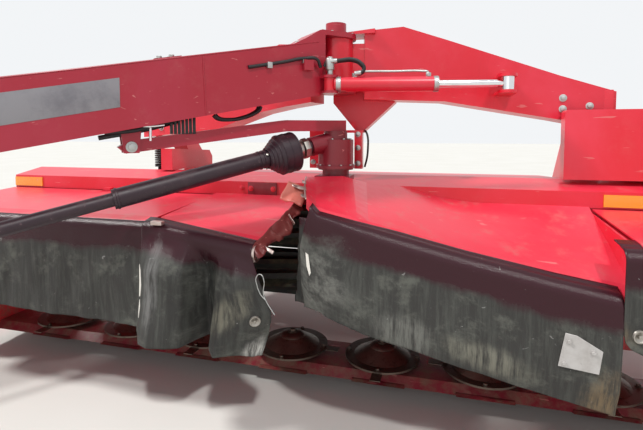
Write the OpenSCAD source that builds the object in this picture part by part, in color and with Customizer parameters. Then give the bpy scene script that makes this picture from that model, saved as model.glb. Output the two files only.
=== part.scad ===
// Pull-type disc mower conditioner with a centre pivot tongue.
// Millimetres, +Z up, -Y forward. The tongue's pivot axis stands on X = 0, Y = 0 of the
// working frame, and placed() moves that frame so the origin lies under the middle of
// the whole machine, on the ground.

/* [Header] */
// Half of the header's width, end plate to end plate
header_half = 2200; // [2000:10:2400]
// Half of the conditioner's width, side sheet to side sheet
conditioner_half = 1150; // [1100:10:1180]
// Thickness of the header's sheets
sheet_t = 6; // [4:0.5:8]
// Height of the ridge's top front edge over the ground
ridge_z = 1050; // [1030:5:1070]
// Height of the ridge's upright front face
ridge_face_h = 77; // [60:1:90]
// Depth of the ridge from its front face to its rear edge
ridge_depth = 200; // [160:5:240]
// Rise of the ridge's top towards the rear
ridge_rise = 40; // [20:1:60]
// Reach of the front shields ahead of the ridge
shield_reach = 615; // [560:5:660]
// Height of the lower edge of the outer curtains
curtain_foot_z = 455; // [420:5:500]
// Thickness of the curtains
curtain_t = 8; // [4:0.5:10]

/* [Cutting] */
// Number of cutting discs
disc_count = 8; // [6:2:8]
// Distance between two neighbouring discs
disc_pitch = 500; // [490:5:510]
// Radius of a disc without its knives
disc_r = 195; // [180:1:205]
// Radius swept by the knife tips
knife_r = 262; // [250:1:270]
// Height of the underside of the cutterbar's skid shoes
shoe_z = 55; // [40:1:80]
// Thickness of the cutterbar
bar_t = 48; // [40:1:60]

/* [Conditioner] */
// Outer radius of a conditioning roll over its lugs
roll_r = 130; // [120:1:135]
// Radius of a roll's tube under its lugs
roll_core_r = 102; // [90:1:105]
// Number of lugs round a roll
lug_count = 10; // [8:2:12]

/* [Frame] */
// Distance from the conditioner's side sheet to the outer face of a frame leg
leg_gap = 212; // [196:2:240]
// Width of a leg's box section
leg_w = 110; // [90:2:130]
// Thickness of an arm of the arch, front to back
arm_t = 160; // [120:5:180]
// Angle by which each arm sweeps rearwards
arm_sweep = 11.4; // [8:0.1:14]
// Wall thickness of the frame's and the tongue's box sections
box_wall = 8; // [6:0.5:12]
// Outer radius of the pivot's sleeve
hub_r = 88; // [80:1:95]
// Radius of the pivot pin
pin_r = 45; // [40:1:50]
// Radius of the pin's cap
cap_r = 53; // [50:1:60]

/* [Tongue] */
// Angle of the tongue from straight ahead, as it stands
swing = 45; // [30:1:50]
// Horizontal distance from the pivot to the hitch pin
hitch_r = 5500; // [5000:10:5800]
// Width of the tongue's box section
tongue_w = 200; // [180:2:210]
// Depth of the tongue's box section at the pivot
tongue_d = 258; // [240:1:290]
// Depth of the tongue's box section at the hitch end
tongue_nose_d = 180; // [150:1:220]
// Height of the tongue's top line where it meets the pivot axis
tongue_top_z = 1795; // [1780:1:1810]
// Fall of the tongue's top line for each millimetre of its reach
tongue_fall = 0.198; // [0.17:0.002:0.21]

/* [Wheels] */
// Outer radius of a tyre
tyre_r = 395; // [370:1:410]
// Width of a tyre
tyre_w = 300; // [260:2:330]
// Radius of the rim
rim_r = 205; // [190:1:215]
// Distance of a wheel's middle plane from the outer face of its leg
wheel_gap = 258; // [240:2:300]
// Distance of the axles behind the pivot axis
axle_y = 1700; // [1650:5:1750]

/* [Hidden] */

// Running clearances
gap = 0.5;
fit = 0.05;
seat = 0.3;
side_gap = 6;

// Where the header's main lines run
ridge_y = 40;
ridge_rear_y = ridge_y + ridge_depth;
ridge_top_z = ridge_z + ridge_rise;
ridge_foot_z = ridge_z - ridge_face_h;
hinge_y = ridge_y - 18;
hinge_z = ridge_foot_z - 12;
hinge_pin_r = 6;
hinge_tube_r = 10;
shield_end = header_half - sheet_t - side_gap;
shield_front_y = ridge_y - shield_reach;
sheet_front_y = shield_front_y + 12;
shield_edge_z = 912;
reflector_w = 222;
reflector_x = 1265;
bar_y = 20;
bar_front_y = bar_y - 165;
bar_rear_y = bar_y + 150;
wall_foot_z = 240;
bar_top_z = shoe_z + 20 + bar_t;
spindle_h = 15;
disc_z = bar_top_z + spindle_h + 11;
knife_z = disc_z + 6;

// Conditioning rolls
roll_half = conditioner_half - 22;
lower_roll = [520, 400];
upper_roll = [600, 690];
roll_shaft_r = 28;
box_x0 = conditioner_half - 35;
box_x1 = conditioner_half + 600;
box_w = 341;
board_hinge = [985, 935];
board_pin_r = 14;
windrow_hinge = [conditioner_half - 42, 1150];
windrow_post_r = 13;
windrow_ears = [590, 850];

// Arch and legs
leg_half = conditioner_half + leg_gap;
arm_y = 80;
arm_end = leg_half / cos(arm_sweep);
yoke_t = 25;
cage_top_z = 1340;
cage_foot_z = 1131;
yoke_r = 104;
yoke_top_z = tongue_top_z + 31;
yoke_foot_z = tongue_top_z - tongue_d - 9;
arm_start = 132;
sleeve_top_z = yoke_top_z - yoke_t - 1;
sleeve_foot_z = yoke_foot_z + yoke_t + 1;
arm_root_top_z = sleeve_top_z - 14;
arm_root_foot_z = sleeve_foot_z + 14;
leg_x = leg_half - leg_w / 2;
link_x = leg_half - 62;
wheel_x = leg_half + wheel_gap;
link_eye_w = 31;
link_front = [375, 350];
link_rear = [975, 590];
spring_top_z = 1290;
spring_foot_z = 1105;
arm_pivot = [1120, 640];
arm_pivot_r = 36;

// Swing cylinder, with its lug on the tongue and its clevis on the left arm
swing_lug_r = 190;
swing_lug_angle = -85;
swing_z = 1556;
swing_lug = [swing_lug_r * cos(swing_lug_angle), swing_lug_r * sin(swing_lug_angle), swing_z];
swing_eye = [832, -20, swing_z];
swing_dir = swing_eye - swing_lug;
swing_len = norm(swing_dir);
swing_pin_r = 16;
clevis_half = 31;
swing_rod_r = 18;
lug_top_z = swing_z + clevis_half + 12;
fitting_h = 24;
hose_r = 9;
swing_barrel_r = 35;

// Lift cylinders
lift_top = [720, 1262];
lift_eye = [1450, 628];
lift_x = leg_half + 48;
lift_barrel_r = 42;
lift_rod_r = 20;
lift_pin_r = 24;
lift_ear = 34;
lift_len = norm(lift_eye - lift_top);
lift_tilt = atan2(lift_eye[1] - lift_top[1], lift_eye[0] - lift_top[0]);

// Driveline under the tongue
drive_fall = 0.2218;
drive_top_z = 1287;
drive_start_r = 245;
drive_step_r = 1070;
drive_end_r = 3200;
drive_rest_r = hitch_r - 880;
drive_rest_z = 590;
drive_front_tube_r = 38;
drive_pitch = atan(drive_fall);
swivel_z = 1134;
steer_w = 60;
steer_z = 1334;

// Hitch and jack
clevis_r = 55;
hitch_z = 460;
hitch_pin_r = 16;
jack_r = hitch_r - 750;
jack_side = tongue_w / 2 + 62;
jack_tube_s = 82;
jack_leg_s = 64;

// Origin under the middle of the machine's outline
side_x = header_half + side_gap + curtain_t;
rear_y = axle_y + tyre_r;
origin_x = (hitch_r * sin(swing) + clevis_r - side_x) / 2;
origin_y = (hitch_r * cos(swing) + clevis_r - rear_y) / 2;

red = [0.60, 0.09, 0.07];
dark_red = [0.38, 0.05, 0.05];
black = [0.08, 0.08, 0.08];
curtain_grey = [0.16, 0.16, 0.17];
steel = [0.55, 0.55, 0.56];
chrome = [0.80, 0.80, 0.82];
amber = [0.90, 0.45, 0.05];
cream = [0.85, 0.83, 0.76];

// Moves the working frame to the part's own frame
module placed() {
    translate([origin_x, origin_y, 0]) children();
}

// Turns a shape that points straight ahead to the tongue's direction
module on_tongue() {
    placed() rotate([0, 0, -swing]) children();
}

// A side profile of [y, z] points, as thick as w along X, with its middle at x
module side_profile(points, w, x = 0) {
    translate([x, 0, 0]) rotate([90, 0, 90])
        linear_extrude(w, center = true) polygon(points);
}

// A front profile of [x, z] points, as thick as t along Y, with its middle at y
module front_profile(points, t, y = 0) {
    translate([0, y, 0]) rotate([90, 0, 0])
        linear_extrude(t, center = true) polygon(points);
}

// A round bar along X
module x_bar(r, x0, x1, y, z) {
    translate([x0, y, z]) rotate([0, 90, 0]) cylinder(r = r, h = x1 - x0, $fn = 48);
}

// A round bar from point p to point q
module bar_between(p, q, r) {
    d = q - p;
    translate(p) rotate([0, acos(d[2] / norm(d)), atan2(d[1], d[0])])
        cylinder(r = r, h = norm(d), $fn = 48);
}

// A block between two corners
module block(a, b) {
    translate(a) cube(b - a);
}

// Both sides of the machine
module both_sides() {
    children();
    mirror([1, 0, 0]) children();
}

// Height of the tongue's top and bottom lines at distance r from the pivot
function tongue_top(r) = tongue_top_z - tongue_fall * r;
function tongue_depth(r) = tongue_d + (tongue_nose_d - tongue_d) * max(0, r - 1500) / (hitch_r - 1500);
function tongue_foot(r) = tongue_top(r) - tongue_depth(r);
function drive_z(r) = drive_top_z - drive_fall * r;

tongue_start = 112;
tongue_end = hitch_r - 450;

// Outline of the tongue's side, drawn smaller by inset g; forward is -Y
function tongue_side(g) = [
    [-tongue_start - g, yoke_top_z - g],
    [-150, yoke_top_z - 5 - g],
    [-225, tongue_top(225) + 25 - g],
    [-300, tongue_top(300) - g],
    [-1500, tongue_top(1500) - g],
    [-tongue_end + g, tongue_top(tongue_end) - g],
    [-tongue_end + g, tongue_foot(tongue_end) + g],
    [-1500, tongue_foot(1500) + g],
    [-tongue_start - g, tongue_foot(tongue_start) + g]];

// Outline of an arm of the arch along its own length, drawn smaller by inset g. The arch
// hangs lower on the right, so side 1 is the left arm and -1 the right one
function arm_face(side, g) = side > 0
    ? [[arm_start + g, 1500 + g], [545, 1486 + g], [arm_end - 275, 1392 + g], [arm_end - g, 1340 + g],
        [arm_end - g, 1532 - g], [arm_end - 275, 1613 - g], [545, 1800 - g], [330, 1868 - g], [arm_start + g, 1850 - g]]
    : [[arm_start + g, 1490 + g], [300, 1470 + g], [474, 1440 + g], [770, 1350 + g], [arm_end - g, 1300 + g],
        [arm_end - g, 1432 - g], [arm_end - 275, 1520 - g], [330, 1814 - g], [arm_start + g, 1796 - g]];

// Outline of a leg's side, with its top where it meets the arm
function leg_side(top) = [
    [265, top], [600, top - 34], [1215, 790], [1245, 560], [1060, 530],
    [985, 700], [560, 1270], [265, 1334]];
leg_tops = [1434, 1540];

module arm_body(side) {
    mirror([side > 0 ? 0 : 1, 0, 0]) translate([0, arm_y, 0]) rotate([0, 0, arm_sweep]) {
        difference() {
            front_profile(arm_face(side, 0), arm_t);
            front_profile(arm_face(side, box_wall), arm_t - 2 * box_wall);
        }
        // Root that fills the yoke between its plates
        block([50, -arm_t / 2 + 6, arm_root_foot_z], [arm_start + 6, arm_t / 2 - 6, arm_root_top_z]);
    }
}

module leg_body(side) {
    difference() {
        side_profile(leg_side(leg_tops[side > 0 ? 1 : 0]), leg_w, leg_x);
        x_bar(arm_pivot_r + fit, leg_half - leg_w - 1, leg_half + 1, arm_pivot[0], arm_pivot[1]);
    }
    // Pin that carries the lift cylinder
    x_bar(lift_pin_r, leg_half - 6, lift_x + 28, lift_top[0], lift_top[1]);
}

module main_frame() {
    color(red) placed() {
        difference() {
            union() {
                translate([0, 0, sleeve_foot_z]) cylinder(r = hub_r, h = sleeve_top_z - sleeve_foot_z, $fn = 96);
                block([-90, 30, arm_root_foot_z + 3], [90, arm_y + 60, arm_root_top_z - 3]);
                for (side = [-1, 1]) arm_body(side);
                // Crest of the left arm over the yoke
                front_profile([[cap_r + 9, yoke_top_z + 8], [200, yoke_top_z + 8], [200, 1856], [cap_r + 9, 1845]], 150, arm_y + 6);
                // Funnel that narrows to the gearbox's cage
                front_profile([[-50, 1580], [-50, 1490], [78, cage_top_z - 4], [122, cage_top_z - 4], [290, 1490], [290, 1580]], 90, 195);
                // Cage behind the swivel: top plate, right plate and left post
                block([-172, 96, cage_top_z - 14], [126, 215, cage_top_z]);
                block([-172, 96, cage_foot_z], [-92, 106, cage_top_z - 4]);
                block([-172, 100, cage_foot_z], [-160, 190, cage_top_z - 5]);
                block([80, 96, cage_foot_z], [122, 140, cage_top_z - 4]);
            }
            translate([0, 0, 1400]) cylinder(r = pin_r + fit, h = 600, $fn = 96);
        }
        leg_body(1);
        mirror([1, 0, 0]) leg_body(-1);
        both_sides() {
            // Hanger of the float spring, and the ears of the lower link
            block([link_x - 15, 315, spring_top_z], [link_x + 15, 345, spring_top_z + 45]);
            for (side = [-1, 1])
                translate([link_x + side * (link_eye_w / 2 + seat + 5), 0, 0]) side_profile([
                    [link_rear[0] - 24, link_rear[1] - 24], [link_rear[0] - 24, link_rear[1] + 24],
                    [1045, link_rear[1] + 38], [1045, link_rear[1] - 26]], 10);
        }
        // Clevis for the swing cylinder's rod
        for (side = [-1, 1])
            translate([swing_eye[0], swing_eye[1], swing_eye[2] + side * (clevis_half + 7)]) {
                cylinder(r = 42, h = 14, center = true, $fn = 48);
                block([-42, 0, -7], [42, 205, 7]);
            }
    }
}

// Pin and bracket that carry a hinged shield between x0 and x1
module hinge_seat(x0, x1) {
    mid = (x0 + x1) / 2;
    x_bar(hinge_pin_r, x0 + 60, x1 - 60, hinge_y, hinge_z);
    block([mid - 25, hinge_y - 9, hinge_z - 9], [mid + 25, ridge_y + 1, ridge_foot_z + 14]);
}

module header_shell() {
    roof = [
        [ridge_rear_y, ridge_top_z], [900, 1050], [1120, 930],
        [1120, 930 - sheet_t], [900 - 2, 1050 - sheet_t], [ridge_rear_y, ridge_top_z - sheet_t]];
    color(red) placed() {
        // Ridge tube
        difference() {
            side_profile([[ridge_y, ridge_foot_z], [ridge_y, ridge_z], [ridge_rear_y, ridge_top_z],
                [ridge_rear_y, ridge_foot_z]], 2 * (header_half - sheet_t));
            side_profile([[ridge_y + sheet_t, ridge_foot_z + sheet_t], [ridge_y + sheet_t, ridge_z - sheet_t],
                [ridge_rear_y - sheet_t, ridge_top_z - sheet_t - 1], [ridge_rear_y - sheet_t, ridge_foot_z + sheet_t]],
                2 * header_half);
        }
        side_profile(roof, 2 * conditioner_half);
        both_sides() {
            // Side sheet of the conditioner with its bearing bores
            difference() {
                side_profile([[ridge_rear_y - 20, ridge_foot_z], [ridge_rear_y, ridge_top_z - 1], [900, 1049],
                    [1120, 929], [1120, 560], [800, 220], [ridge_rear_y - 20, wall_foot_z]], 10, conditioner_half - 5);
                x_bar(roll_shaft_r + fit, conditioner_half - 20, conditioner_half + 1, lower_roll[0], lower_roll[1]);
                x_bar(roll_shaft_r + fit, conditioner_half - 20, conditioner_half + 1, upper_roll[0], upper_roll[1]);
                x_bar(board_pin_r + fit, conditioner_half - 20, conditioner_half + 1, board_hinge[0], board_hinge[1]);
            }
            // Rear wall outside the conditioner
            block([conditioner_half - 10, ridge_rear_y - sheet_t - 20, wall_foot_z],
                [header_half, ridge_rear_y - 20, ridge_foot_z + 1]);
            // End plate
            side_profile([[ridge_rear_y, ridge_foot_z - 20], [ridge_rear_y, ridge_top_z], [ridge_y, ridge_z],
                [ridge_y, ridge_foot_z - 50], [-380, 890], [-450, 520], [-400, 95], [ridge_rear_y, 95]],
                sheet_t, header_half - sheet_t / 2);
            // Ears of the lower link
            for (side = [-1, 1])
                translate([link_x + side * (link_eye_w / 2 + seat + 6), 0, 0])
                    side_profile([[ridge_rear_y - 21, 260], [link_front[0] + 25, 300],
                        [link_front[0] + 25, 400], [ridge_rear_y - 21, 440]], 12);
            // Ears that carry a windrow shield's post
            for (z = windrow_ears)
                difference() {
                    block([conditioner_half - 78, 1085, z], [conditioner_half - 9, 1178, z + 12]);
                    translate([windrow_hinge[0], windrow_hinge[1], z - 1])
                        cylinder(r = windrow_post_r + fit, h = 14, $fn = 48);
                }
        }
        hinge_seat(-shield_end, outer_left_x1);
        hinge_seat(outer_right_x0, shield_end);
    }
}

module cutterbar() {
    color(dark_red) placed() {
        side_profile([[bar_front_y, shoe_z + 30], [bar_front_y + 40, bar_top_z], [bar_rear_y, bar_top_z],
            [bar_rear_y, shoe_z + 20], [bar_front_y + 60, shoe_z + 20]], 2 * (header_half - sheet_t - gap));
        for (i = [0 : disc_count - 1]) {
            x = (i - (disc_count - 1) / 2) * disc_pitch;
            // Skid shoe and the spindle's bearing housing
            side_profile([[bar_front_y - 20, shoe_z + 34], [bar_front_y + 60, shoe_z], [bar_rear_y, shoe_z],
                [bar_rear_y, shoe_z + 20], [bar_front_y, shoe_z + 40]], 260, x);
            translate([x, bar_y, bar_top_z - 1]) cylinder(r = 75, h = spindle_h + 1, $fn = 64);
        }
    }
}

module header_gearbox() {
    color(dark_red) placed() {
        block([-85, -100, 820], [30, ridge_y, 1031]);
        block([-90, -94, 1030], [90, ridge_y, 1105]);
        translate([0, 0, 1104]) cylinder(r = 70, h = swivel_z - 1104, $fn = 64);
    }
}

module drive_box() {
    front_y = 130;
    color(red) placed() {
        front_profile([[box_x0, ridge_top_z + 6], [box_x0, 1424], [box_x0 + 4, 1432], [box_x0 + 12, 1436],
            [box_x1, 1436], [box_x1, ridge_top_z + 6]],
            76, front_y + 38);
        side_profile([[front_y + 70, ridge_top_z + 6], [front_y + 70, 1300], [560, 1260], [600, 1180], [600, 640],
            [ridge_rear_y + gap, 560], [ridge_rear_y + gap, ridge_top_z + 6]], box_w, box_x1 - box_w / 2 - 4);
    }
}

module drive_tower() {
    color(red) placed()
        side_profile([[190, ridge_top_z + gap], [190, 1228], [660, 1205], [700, 1160], [700, ridge_top_z + gap]], 80, -conditioner_half);
}

module float_links() {
    color(black) placed() both_sides() {
        // Float spring from the arm's end to the header
        translate([link_x, 330, spring_foot_z]) cylinder(r = 32, h = spring_top_z - spring_foot_z, $fn = 48);
        block([link_x - 15, ridge_rear_y, 1000], [link_x + 15, 350, 1040]);
        block([link_x - 15, 310, 1039], [link_x + 15, 350, spring_foot_z + 1]);
        // Lower link with its eyes
        bar_between([link_x, link_front[0], link_front[1]], [link_x, link_rear[0], link_rear[1]], 15);
        for (eye = [link_front, link_rear])
            x_bar(24, link_x - link_eye_w / 2, link_x + link_eye_w / 2, eye[0], eye[1]);
    }
}

module reflectors() {
    color(amber) placed()
        for (x = [2 - header_half, reflector_x, header_half - 2 - reflector_w])
            block([x, ridge_y - 6, ridge_foot_z + 8], [x + reflector_w, ridge_y, ridge_z - 12]);
}

// Value at x of a table of [x, value] points
function along(table, x, i = 0) =
    i >= len(table) - 2 || x <= table[i + 1][0]
        ? table[i][1] + (table[i + 1][1] - table[i][1]) * (x - table[i][0]) / (table[i + 1][0] - table[i][0])
        : along(table, x, i + 1);

// A bent sheet between two lines of [x, z] points: its rear edge, whose distance ahead of
// the ridge is in the table start, and its front edge, which turns down over a lip
module bent_sheet(rear, front, start, t) {
    nx = 28;
    ny = 8;
    lip = 30;
    points = [for (side = [0, 1]) for (i = [0 : nx]) for (j = [0 : ny])
        let (w = i / nx,
             u = j / ny,
             rear_x = rear[0][0] + (rear[len(rear) - 1][0] - rear[0][0]) * w,
             front_x = front[0][0] + (front[len(front) - 1][0] - front[0][0]) * w,
             rear_y = ridge_y - seat - along(start, rear_x),
             rear_h = along(rear, rear_x),
             drop = u > 0.85 ? lip * pow((u - 0.85) / 0.15, 2) : 0)
        [rear_x + (front_x - rear_x) * u, rear_y + (sheet_front_y - rear_y) * u,
         rear_h + (along(front, front_x) - rear_h) * u - drop - side * t]];
    m = ny + 1;
    n = (nx + 1) * m;
    faces = concat(
        [for (i = [0 : nx - 1]) for (j = [0 : ny - 1]) [i * m + j, i * m + j + 1, (i + 1) * m + j + 1]],
        [for (i = [0 : nx - 1]) for (j = [0 : ny - 1]) [i * m + j, (i + 1) * m + j + 1, (i + 1) * m + j]],
        [for (i = [0 : nx - 1]) for (j = [0 : ny - 1]) [n + i * m + j, n + (i + 1) * m + j + 1, n + i * m + j + 1]],
        [for (i = [0 : nx - 1]) for (j = [0 : ny - 1]) [n + i * m + j, n + (i + 1) * m + j, n + (i + 1) * m + j + 1]],
        [for (i = [0 : nx - 1]) for (j = [0, ny]) let (a = i * m + j, b = (i + 1) * m + j)
            j == 0 ? [a, b, b + n, a + n] : [b, a, a + n, b + n]],
        [for (j = [0 : ny - 1]) for (i = [0, nx]) let (a = i * m + j, b = i * m + j + 1)
            i == 0 ? [b, a, a + n, b + n] : [a, b, b + n, a + n]]);
    polyhedron(points, faces);
}

// Lines of the two inner sheets. The left one is bent up into a hood before the gearbox
sheet_rear_z = ridge_foot_z + sheet_t;
outer_left_x1 = -726;
outer_right_x0 = 1215;
curtain_lap = 75;
inner_left_rear = [[-720, sheet_rear_z], [-330, sheet_rear_z], [-165, sheet_rear_z + 12]];
inner_left_front = [[-720, 927], [-227, 850]];
inner_right_rear = [[-128, 1100], [90, 1110], [150, 1064], [330, 1052], [520, sheet_rear_z + 22],
    [700, sheet_rear_z], [outer_right_x0 - 10, sheet_rear_z]];
inner_right_front = [[12, 1052], [60, 998], [287, 941], [632, 860], [944, 795], [1114, 765], [outer_right_x0 - 10, 748]];
inner_right_start = [[-128, 150], [104, 150], [150, 0], [outer_right_x0, 0]];
flat_start = [[-header_half, 0], [header_half, 0]];

module inner_shield_left() {
    color(red) placed() bent_sheet(inner_left_rear, inner_left_front, flat_start, sheet_t);
}

module inner_shield_right() {
    color(red) placed() bent_sheet(inner_right_rear, inner_right_front, inner_right_start, sheet_t);
}

// A curtain that hangs under a bent sheet's front edge, between two [x, z] lines
module hung_curtain(top, foot) {
    feet = [for (i = [len(foot) - 1 : -1 : 0]) foot[i]];
    color(curtain_grey) placed()
        front_profile(concat(top, feet), curtain_t, sheet_front_y - seat - curtain_t / 2);
}

module inner_curtain_left() {
    hung_curtain([[-720, 909], [-227, 832]], [[-720, 410], [-227, 402]]);
}

module inner_curtain_right() {
    hung_curtain([[43, 976], [287, 923], [632, 842], [944, 777], [1114, 747]],
        [[43, 600], [287, 526], [632, 440], [944, 360], [1114, 330]]);
}

// Hinged outer shield from x0 to x1, with its ribs and hinge tube
module outer_shield(x0, x1) {
    w = x1 - x0;
    mid = (x0 + x1) / 2;
    color(red) placed() difference() {
        union() {
            side_profile([[hinge_y, hinge_z + 10], [shield_front_y + 70, shield_edge_z + 24],
                [shield_front_y + 25, shield_edge_z + 12], [shield_front_y + 6, shield_edge_z - 12],
                [shield_front_y + 6, shield_edge_z - 40], [shield_front_y + 12, shield_edge_z - 40],
                [shield_front_y + 12, shield_edge_z - 16], [shield_front_y + 30, shield_edge_z + 6],
                [shield_front_y + 72, shield_edge_z + 18], [hinge_y, hinge_z + 4]], w, mid);
            x_bar(hinge_tube_r, x0, x1, hinge_y, hinge_z);
            for (x = [x0 + 20, mid, x1 - 20])
                side_profile([[hinge_y - 20, hinge_z + 4], [shield_front_y + 72, shield_edge_z + 18],
                    [shield_front_y + 72, shield_edge_z - 16], [hinge_y - 120, hinge_z - 40]], 6, x);
        }
        x_bar(hinge_pin_r + fit, x0 - 1, x1 + 1, hinge_y, hinge_z);
        // Notch for the hinge's bracket
        block([mid - 31, hinge_y - 30, hinge_z - 30], [mid + 31, ridge_y, ridge_foot_z + 20]);
    }
}

module outer_shield_left() {
    outer_shield(-shield_end, outer_left_x1);
}

module outer_shield_right() {
    outer_shield(outer_right_x0, shield_end);
}

// Front curtain from the x0 end to past the end plate, where it turns rearwards. Its inner
// end stands out by lap, with a cut top corner and a rounded, raised lower one
module outer_curtain(x0, lap) {
    top = shield_edge_z - 20;
    foot = curtain_foot_z;
    rear = shield_front_y + 6 - seat;
    inner = header_half + side_gap;
    outer = inner + curtain_t;
    corner = lap > 0
        ? [[x0 + 2 * lap, foot], [x0 - lap / 2, foot + 1.6 * lap], [x0 - 0.85 * lap, foot + 1.9 * lap],
            [x0 - lap, foot + 2.4 * lap], [x0 - lap, top - 1.7 * lap], [x0 - lap / 2, top]]
        : [[x0, foot], [x0, top]];
    front_profile(concat(corner, [[outer, top], [outer, foot]]), curtain_t, rear - curtain_t / 2);
    block([inner, rear - curtain_t, foot], [outer, -60, top]);
}

module outer_curtain_left() {
    color(curtain_grey) placed() mirror([1, 0, 0]) outer_curtain(-outer_left_x1, 0);
}

module outer_curtain_right() {
    color(curtain_grey) placed() outer_curtain(outer_right_x0, curtain_lap);
}

// Cutting disc number i with two knives; neighbours stand a quarter turn apart
module disc(i) {
    x = (i - (disc_count + 1) / 2) * disc_pitch;
    color(steel) placed() translate([x, bar_y, 0]) rotate([0, 0, (i % 2) * 90]) {
        translate([0, 0, disc_z]) cylinder(r = disc_r, h = 10, $fn = 72);
        translate([0, 0, disc_z + 9]) cylinder(r1 = 150, r2 = 70, h = 45, $fn = 48);
        translate([0, 0, bar_top_z + spindle_h + seat])
            cylinder(r = 40, h = disc_z - bar_top_z - spindle_h - seat + 1, $fn = 48);
        for (side = [-1, 1])
            translate([side * (knife_r + disc_r - 60) / 2, 0, knife_z - 5])
                cube([knife_r - disc_r + 60, 50, 4], center = true);
    }
}

module disc_1() disc(1);
module disc_2() disc(2);
module disc_3() disc(3);
module disc_4() disc(4);
module disc_5() disc(5);
module disc_6() disc(6);
module disc_7() disc(7);
module disc_8() disc(8);

module roll(centre) {
    color(black) placed() {
        x_bar(roll_core_r, -roll_half, roll_half, centre[0], centre[1]);
        x_bar(roll_shaft_r, -conditioner_half - 8, conditioner_half + 8, centre[0], centre[1]);
        for (k = [0 : lug_count - 1])
            translate([0, centre[0], centre[1]]) rotate([k * 360 / lug_count, 0, 0])
                block([-roll_half + 5, -12, roll_core_r - 8], [roll_half - 5, 12, roll_r]);
    }
}

module roll_lower() roll(lower_roll);
module roll_upper() roll(upper_roll);

module swathboard() {
    half = conditioner_half - 105;
    color(red) placed() {
        x_bar(board_pin_r, -conditioner_half - 4, conditioner_half + 4, board_hinge[0], board_hinge[1]);
        side_profile([[board_hinge[0] - 3, board_hinge[1]], [board_hinge[0] + 3, board_hinge[1]],
            [1075, 640], [1130, 600], [1127, 595], [1069, 637]], 2 * half);
    }
}

module windrow(side) {
    color(red) placed() mirror([side > 0 ? 0 : 1, 0, 0]) {
        translate([windrow_hinge[0], windrow_hinge[1], 420]) cylinder(r = windrow_post_r, h = 460, $fn = 48);
        translate([windrow_hinge[0], windrow_hinge[1], 0]) rotate([0, 0, 12]) {
            block([-3, 36, 430], [3, 620, 870]);
            for (z = [450, 690]) block([-8, 0, z], [8, 40, z + 80]);
        }
    }
}

module windrow_left() windrow(1);
module windrow_right() windrow(-1);

module tongue_beam() {
    color(red) on_tongue() {
        difference() {
            side_profile(tongue_side(0), tongue_w);
            side_profile(tongue_side(box_wall), tongue_w - 2 * box_wall);
            // Round clearance for the pivot's sleeve
            cylinder(r = hub_r + 12, h = 2500, $fn = 96);
            block([-tongue_w, -tongue_start - box_wall - 1, sleeve_foot_z], [tongue_w, -tongue_start + 30, sleeve_top_z]);
        }
        for (z = [yoke_foot_z, yoke_top_z - yoke_t]) {
            translate([0, 0, z]) cylinder(r = yoke_r, h = yoke_t, $fn = 96);
            block([-tongue_w / 2 + 1, -138, z + 1], [tongue_w / 2 - 1, 0, z + yoke_t - 1]);
        }
        // Plates welded on the top, and the block that the hoses leave from
        for (r = [215, 860])
            side_profile([[-r - 55, tongue_top(r + 55) - 2], [-r - 55, tongue_top(r + 55) + 8],
                [-r + 55, tongue_top(r - 55) + 8], [-r + 55, tongue_top(r - 55) - 2]], 70, tongue_w / 2 - 45);
        block([tongue_w / 2 - 2, -250, 1620], [tongue_w / 2 + 26, -200, 1668]);
        // Pivot pin and its cap
        translate([0, 0, yoke_foot_z + 1]) cylinder(r = pin_r, h = yoke_top_z - yoke_foot_z, $fn = 96);
        translate([0, 0, yoke_top_z - 1]) cylinder(r = cap_r, h = 60, $fn = 64);
        // Lug of the swing cylinder
        for (side = [-1, 1])
            translate([0, 0, swing_z + side * (clevis_half + 6)]) {
                rotate([0, 0, swing]) translate([swing_lug[0], swing_lug[1], 0])
                    cylinder(r = 38, h = 12, center = true, $fn = 48);
                block([tongue_w / 2 - 1, -155, -6], [140, -90, 6]);
            }
        rotate([0, 0, swing]) translate(swing_lug)
            cylinder(r = swing_pin_r, h = 2 * clevis_half + 14, center = true, $fn = 48);
        // Cheeks that hold the steering arm's end
        for (side = [-1, 1])
            translate([side * (steer_w / 2 + seat + 5), 0, 0])
                side_profile([[-1040, tongue_foot(1040) + 2], [-960, tongue_foot(960) + 2], [-970, 1240], [-1030, 1240]], 10);
    }
}

module hitch_clevis() {
    neck = -tongue_end - seat;
    color(dark_red) on_tongue() {
        side_profile([[neck, tongue_top(tongue_end)], [neck - 160, tongue_top(tongue_end) - 80],
            [-hitch_r + 60, hitch_z + 60], [-hitch_r + 60, hitch_z - 60], [neck - 120, hitch_z - 60],
            [neck, tongue_foot(tongue_end)]], 140);
        for (dz = [-48, 24])
            difference() {
                union() {
                    translate([0, -hitch_r, hitch_z + dz]) cylinder(r = clevis_r, h = 24, $fn = 64);
                    block([-clevis_r, -hitch_r, hitch_z + dz], [clevis_r, -hitch_r + 70, hitch_z + dz + 24]);
                }
                translate([0, -hitch_r, hitch_z + dz - 1]) cylinder(r = hitch_pin_r, h = 26, $fn = 64);
            }
    }
}

// Hanger under the tongue at distance r, with a bore of radius hole at height z
module driveline_hanger(r, z, hole) {
    difference() {
        side_profile([[-r - 30, tongue_foot(r + 30) - seat], [-r + 30, tongue_foot(r - 30) - seat],
            [-r + 30, z - 72], [-r - 30, z - 72]], 130);
        translate([0, -r, z]) rotate([90, 0, 0]) cylinder(r = hole, h = 100, center = true, $fn = 64);
    }
}

module driveline_carrier() {
    color(dark_red) on_tongue() {
        driveline_hanger(drive_end_r, drive_z(drive_end_r), 40);
        driveline_hanger(drive_rest_r, drive_rest_z, drive_front_tube_r + seat);
    }
}

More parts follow.
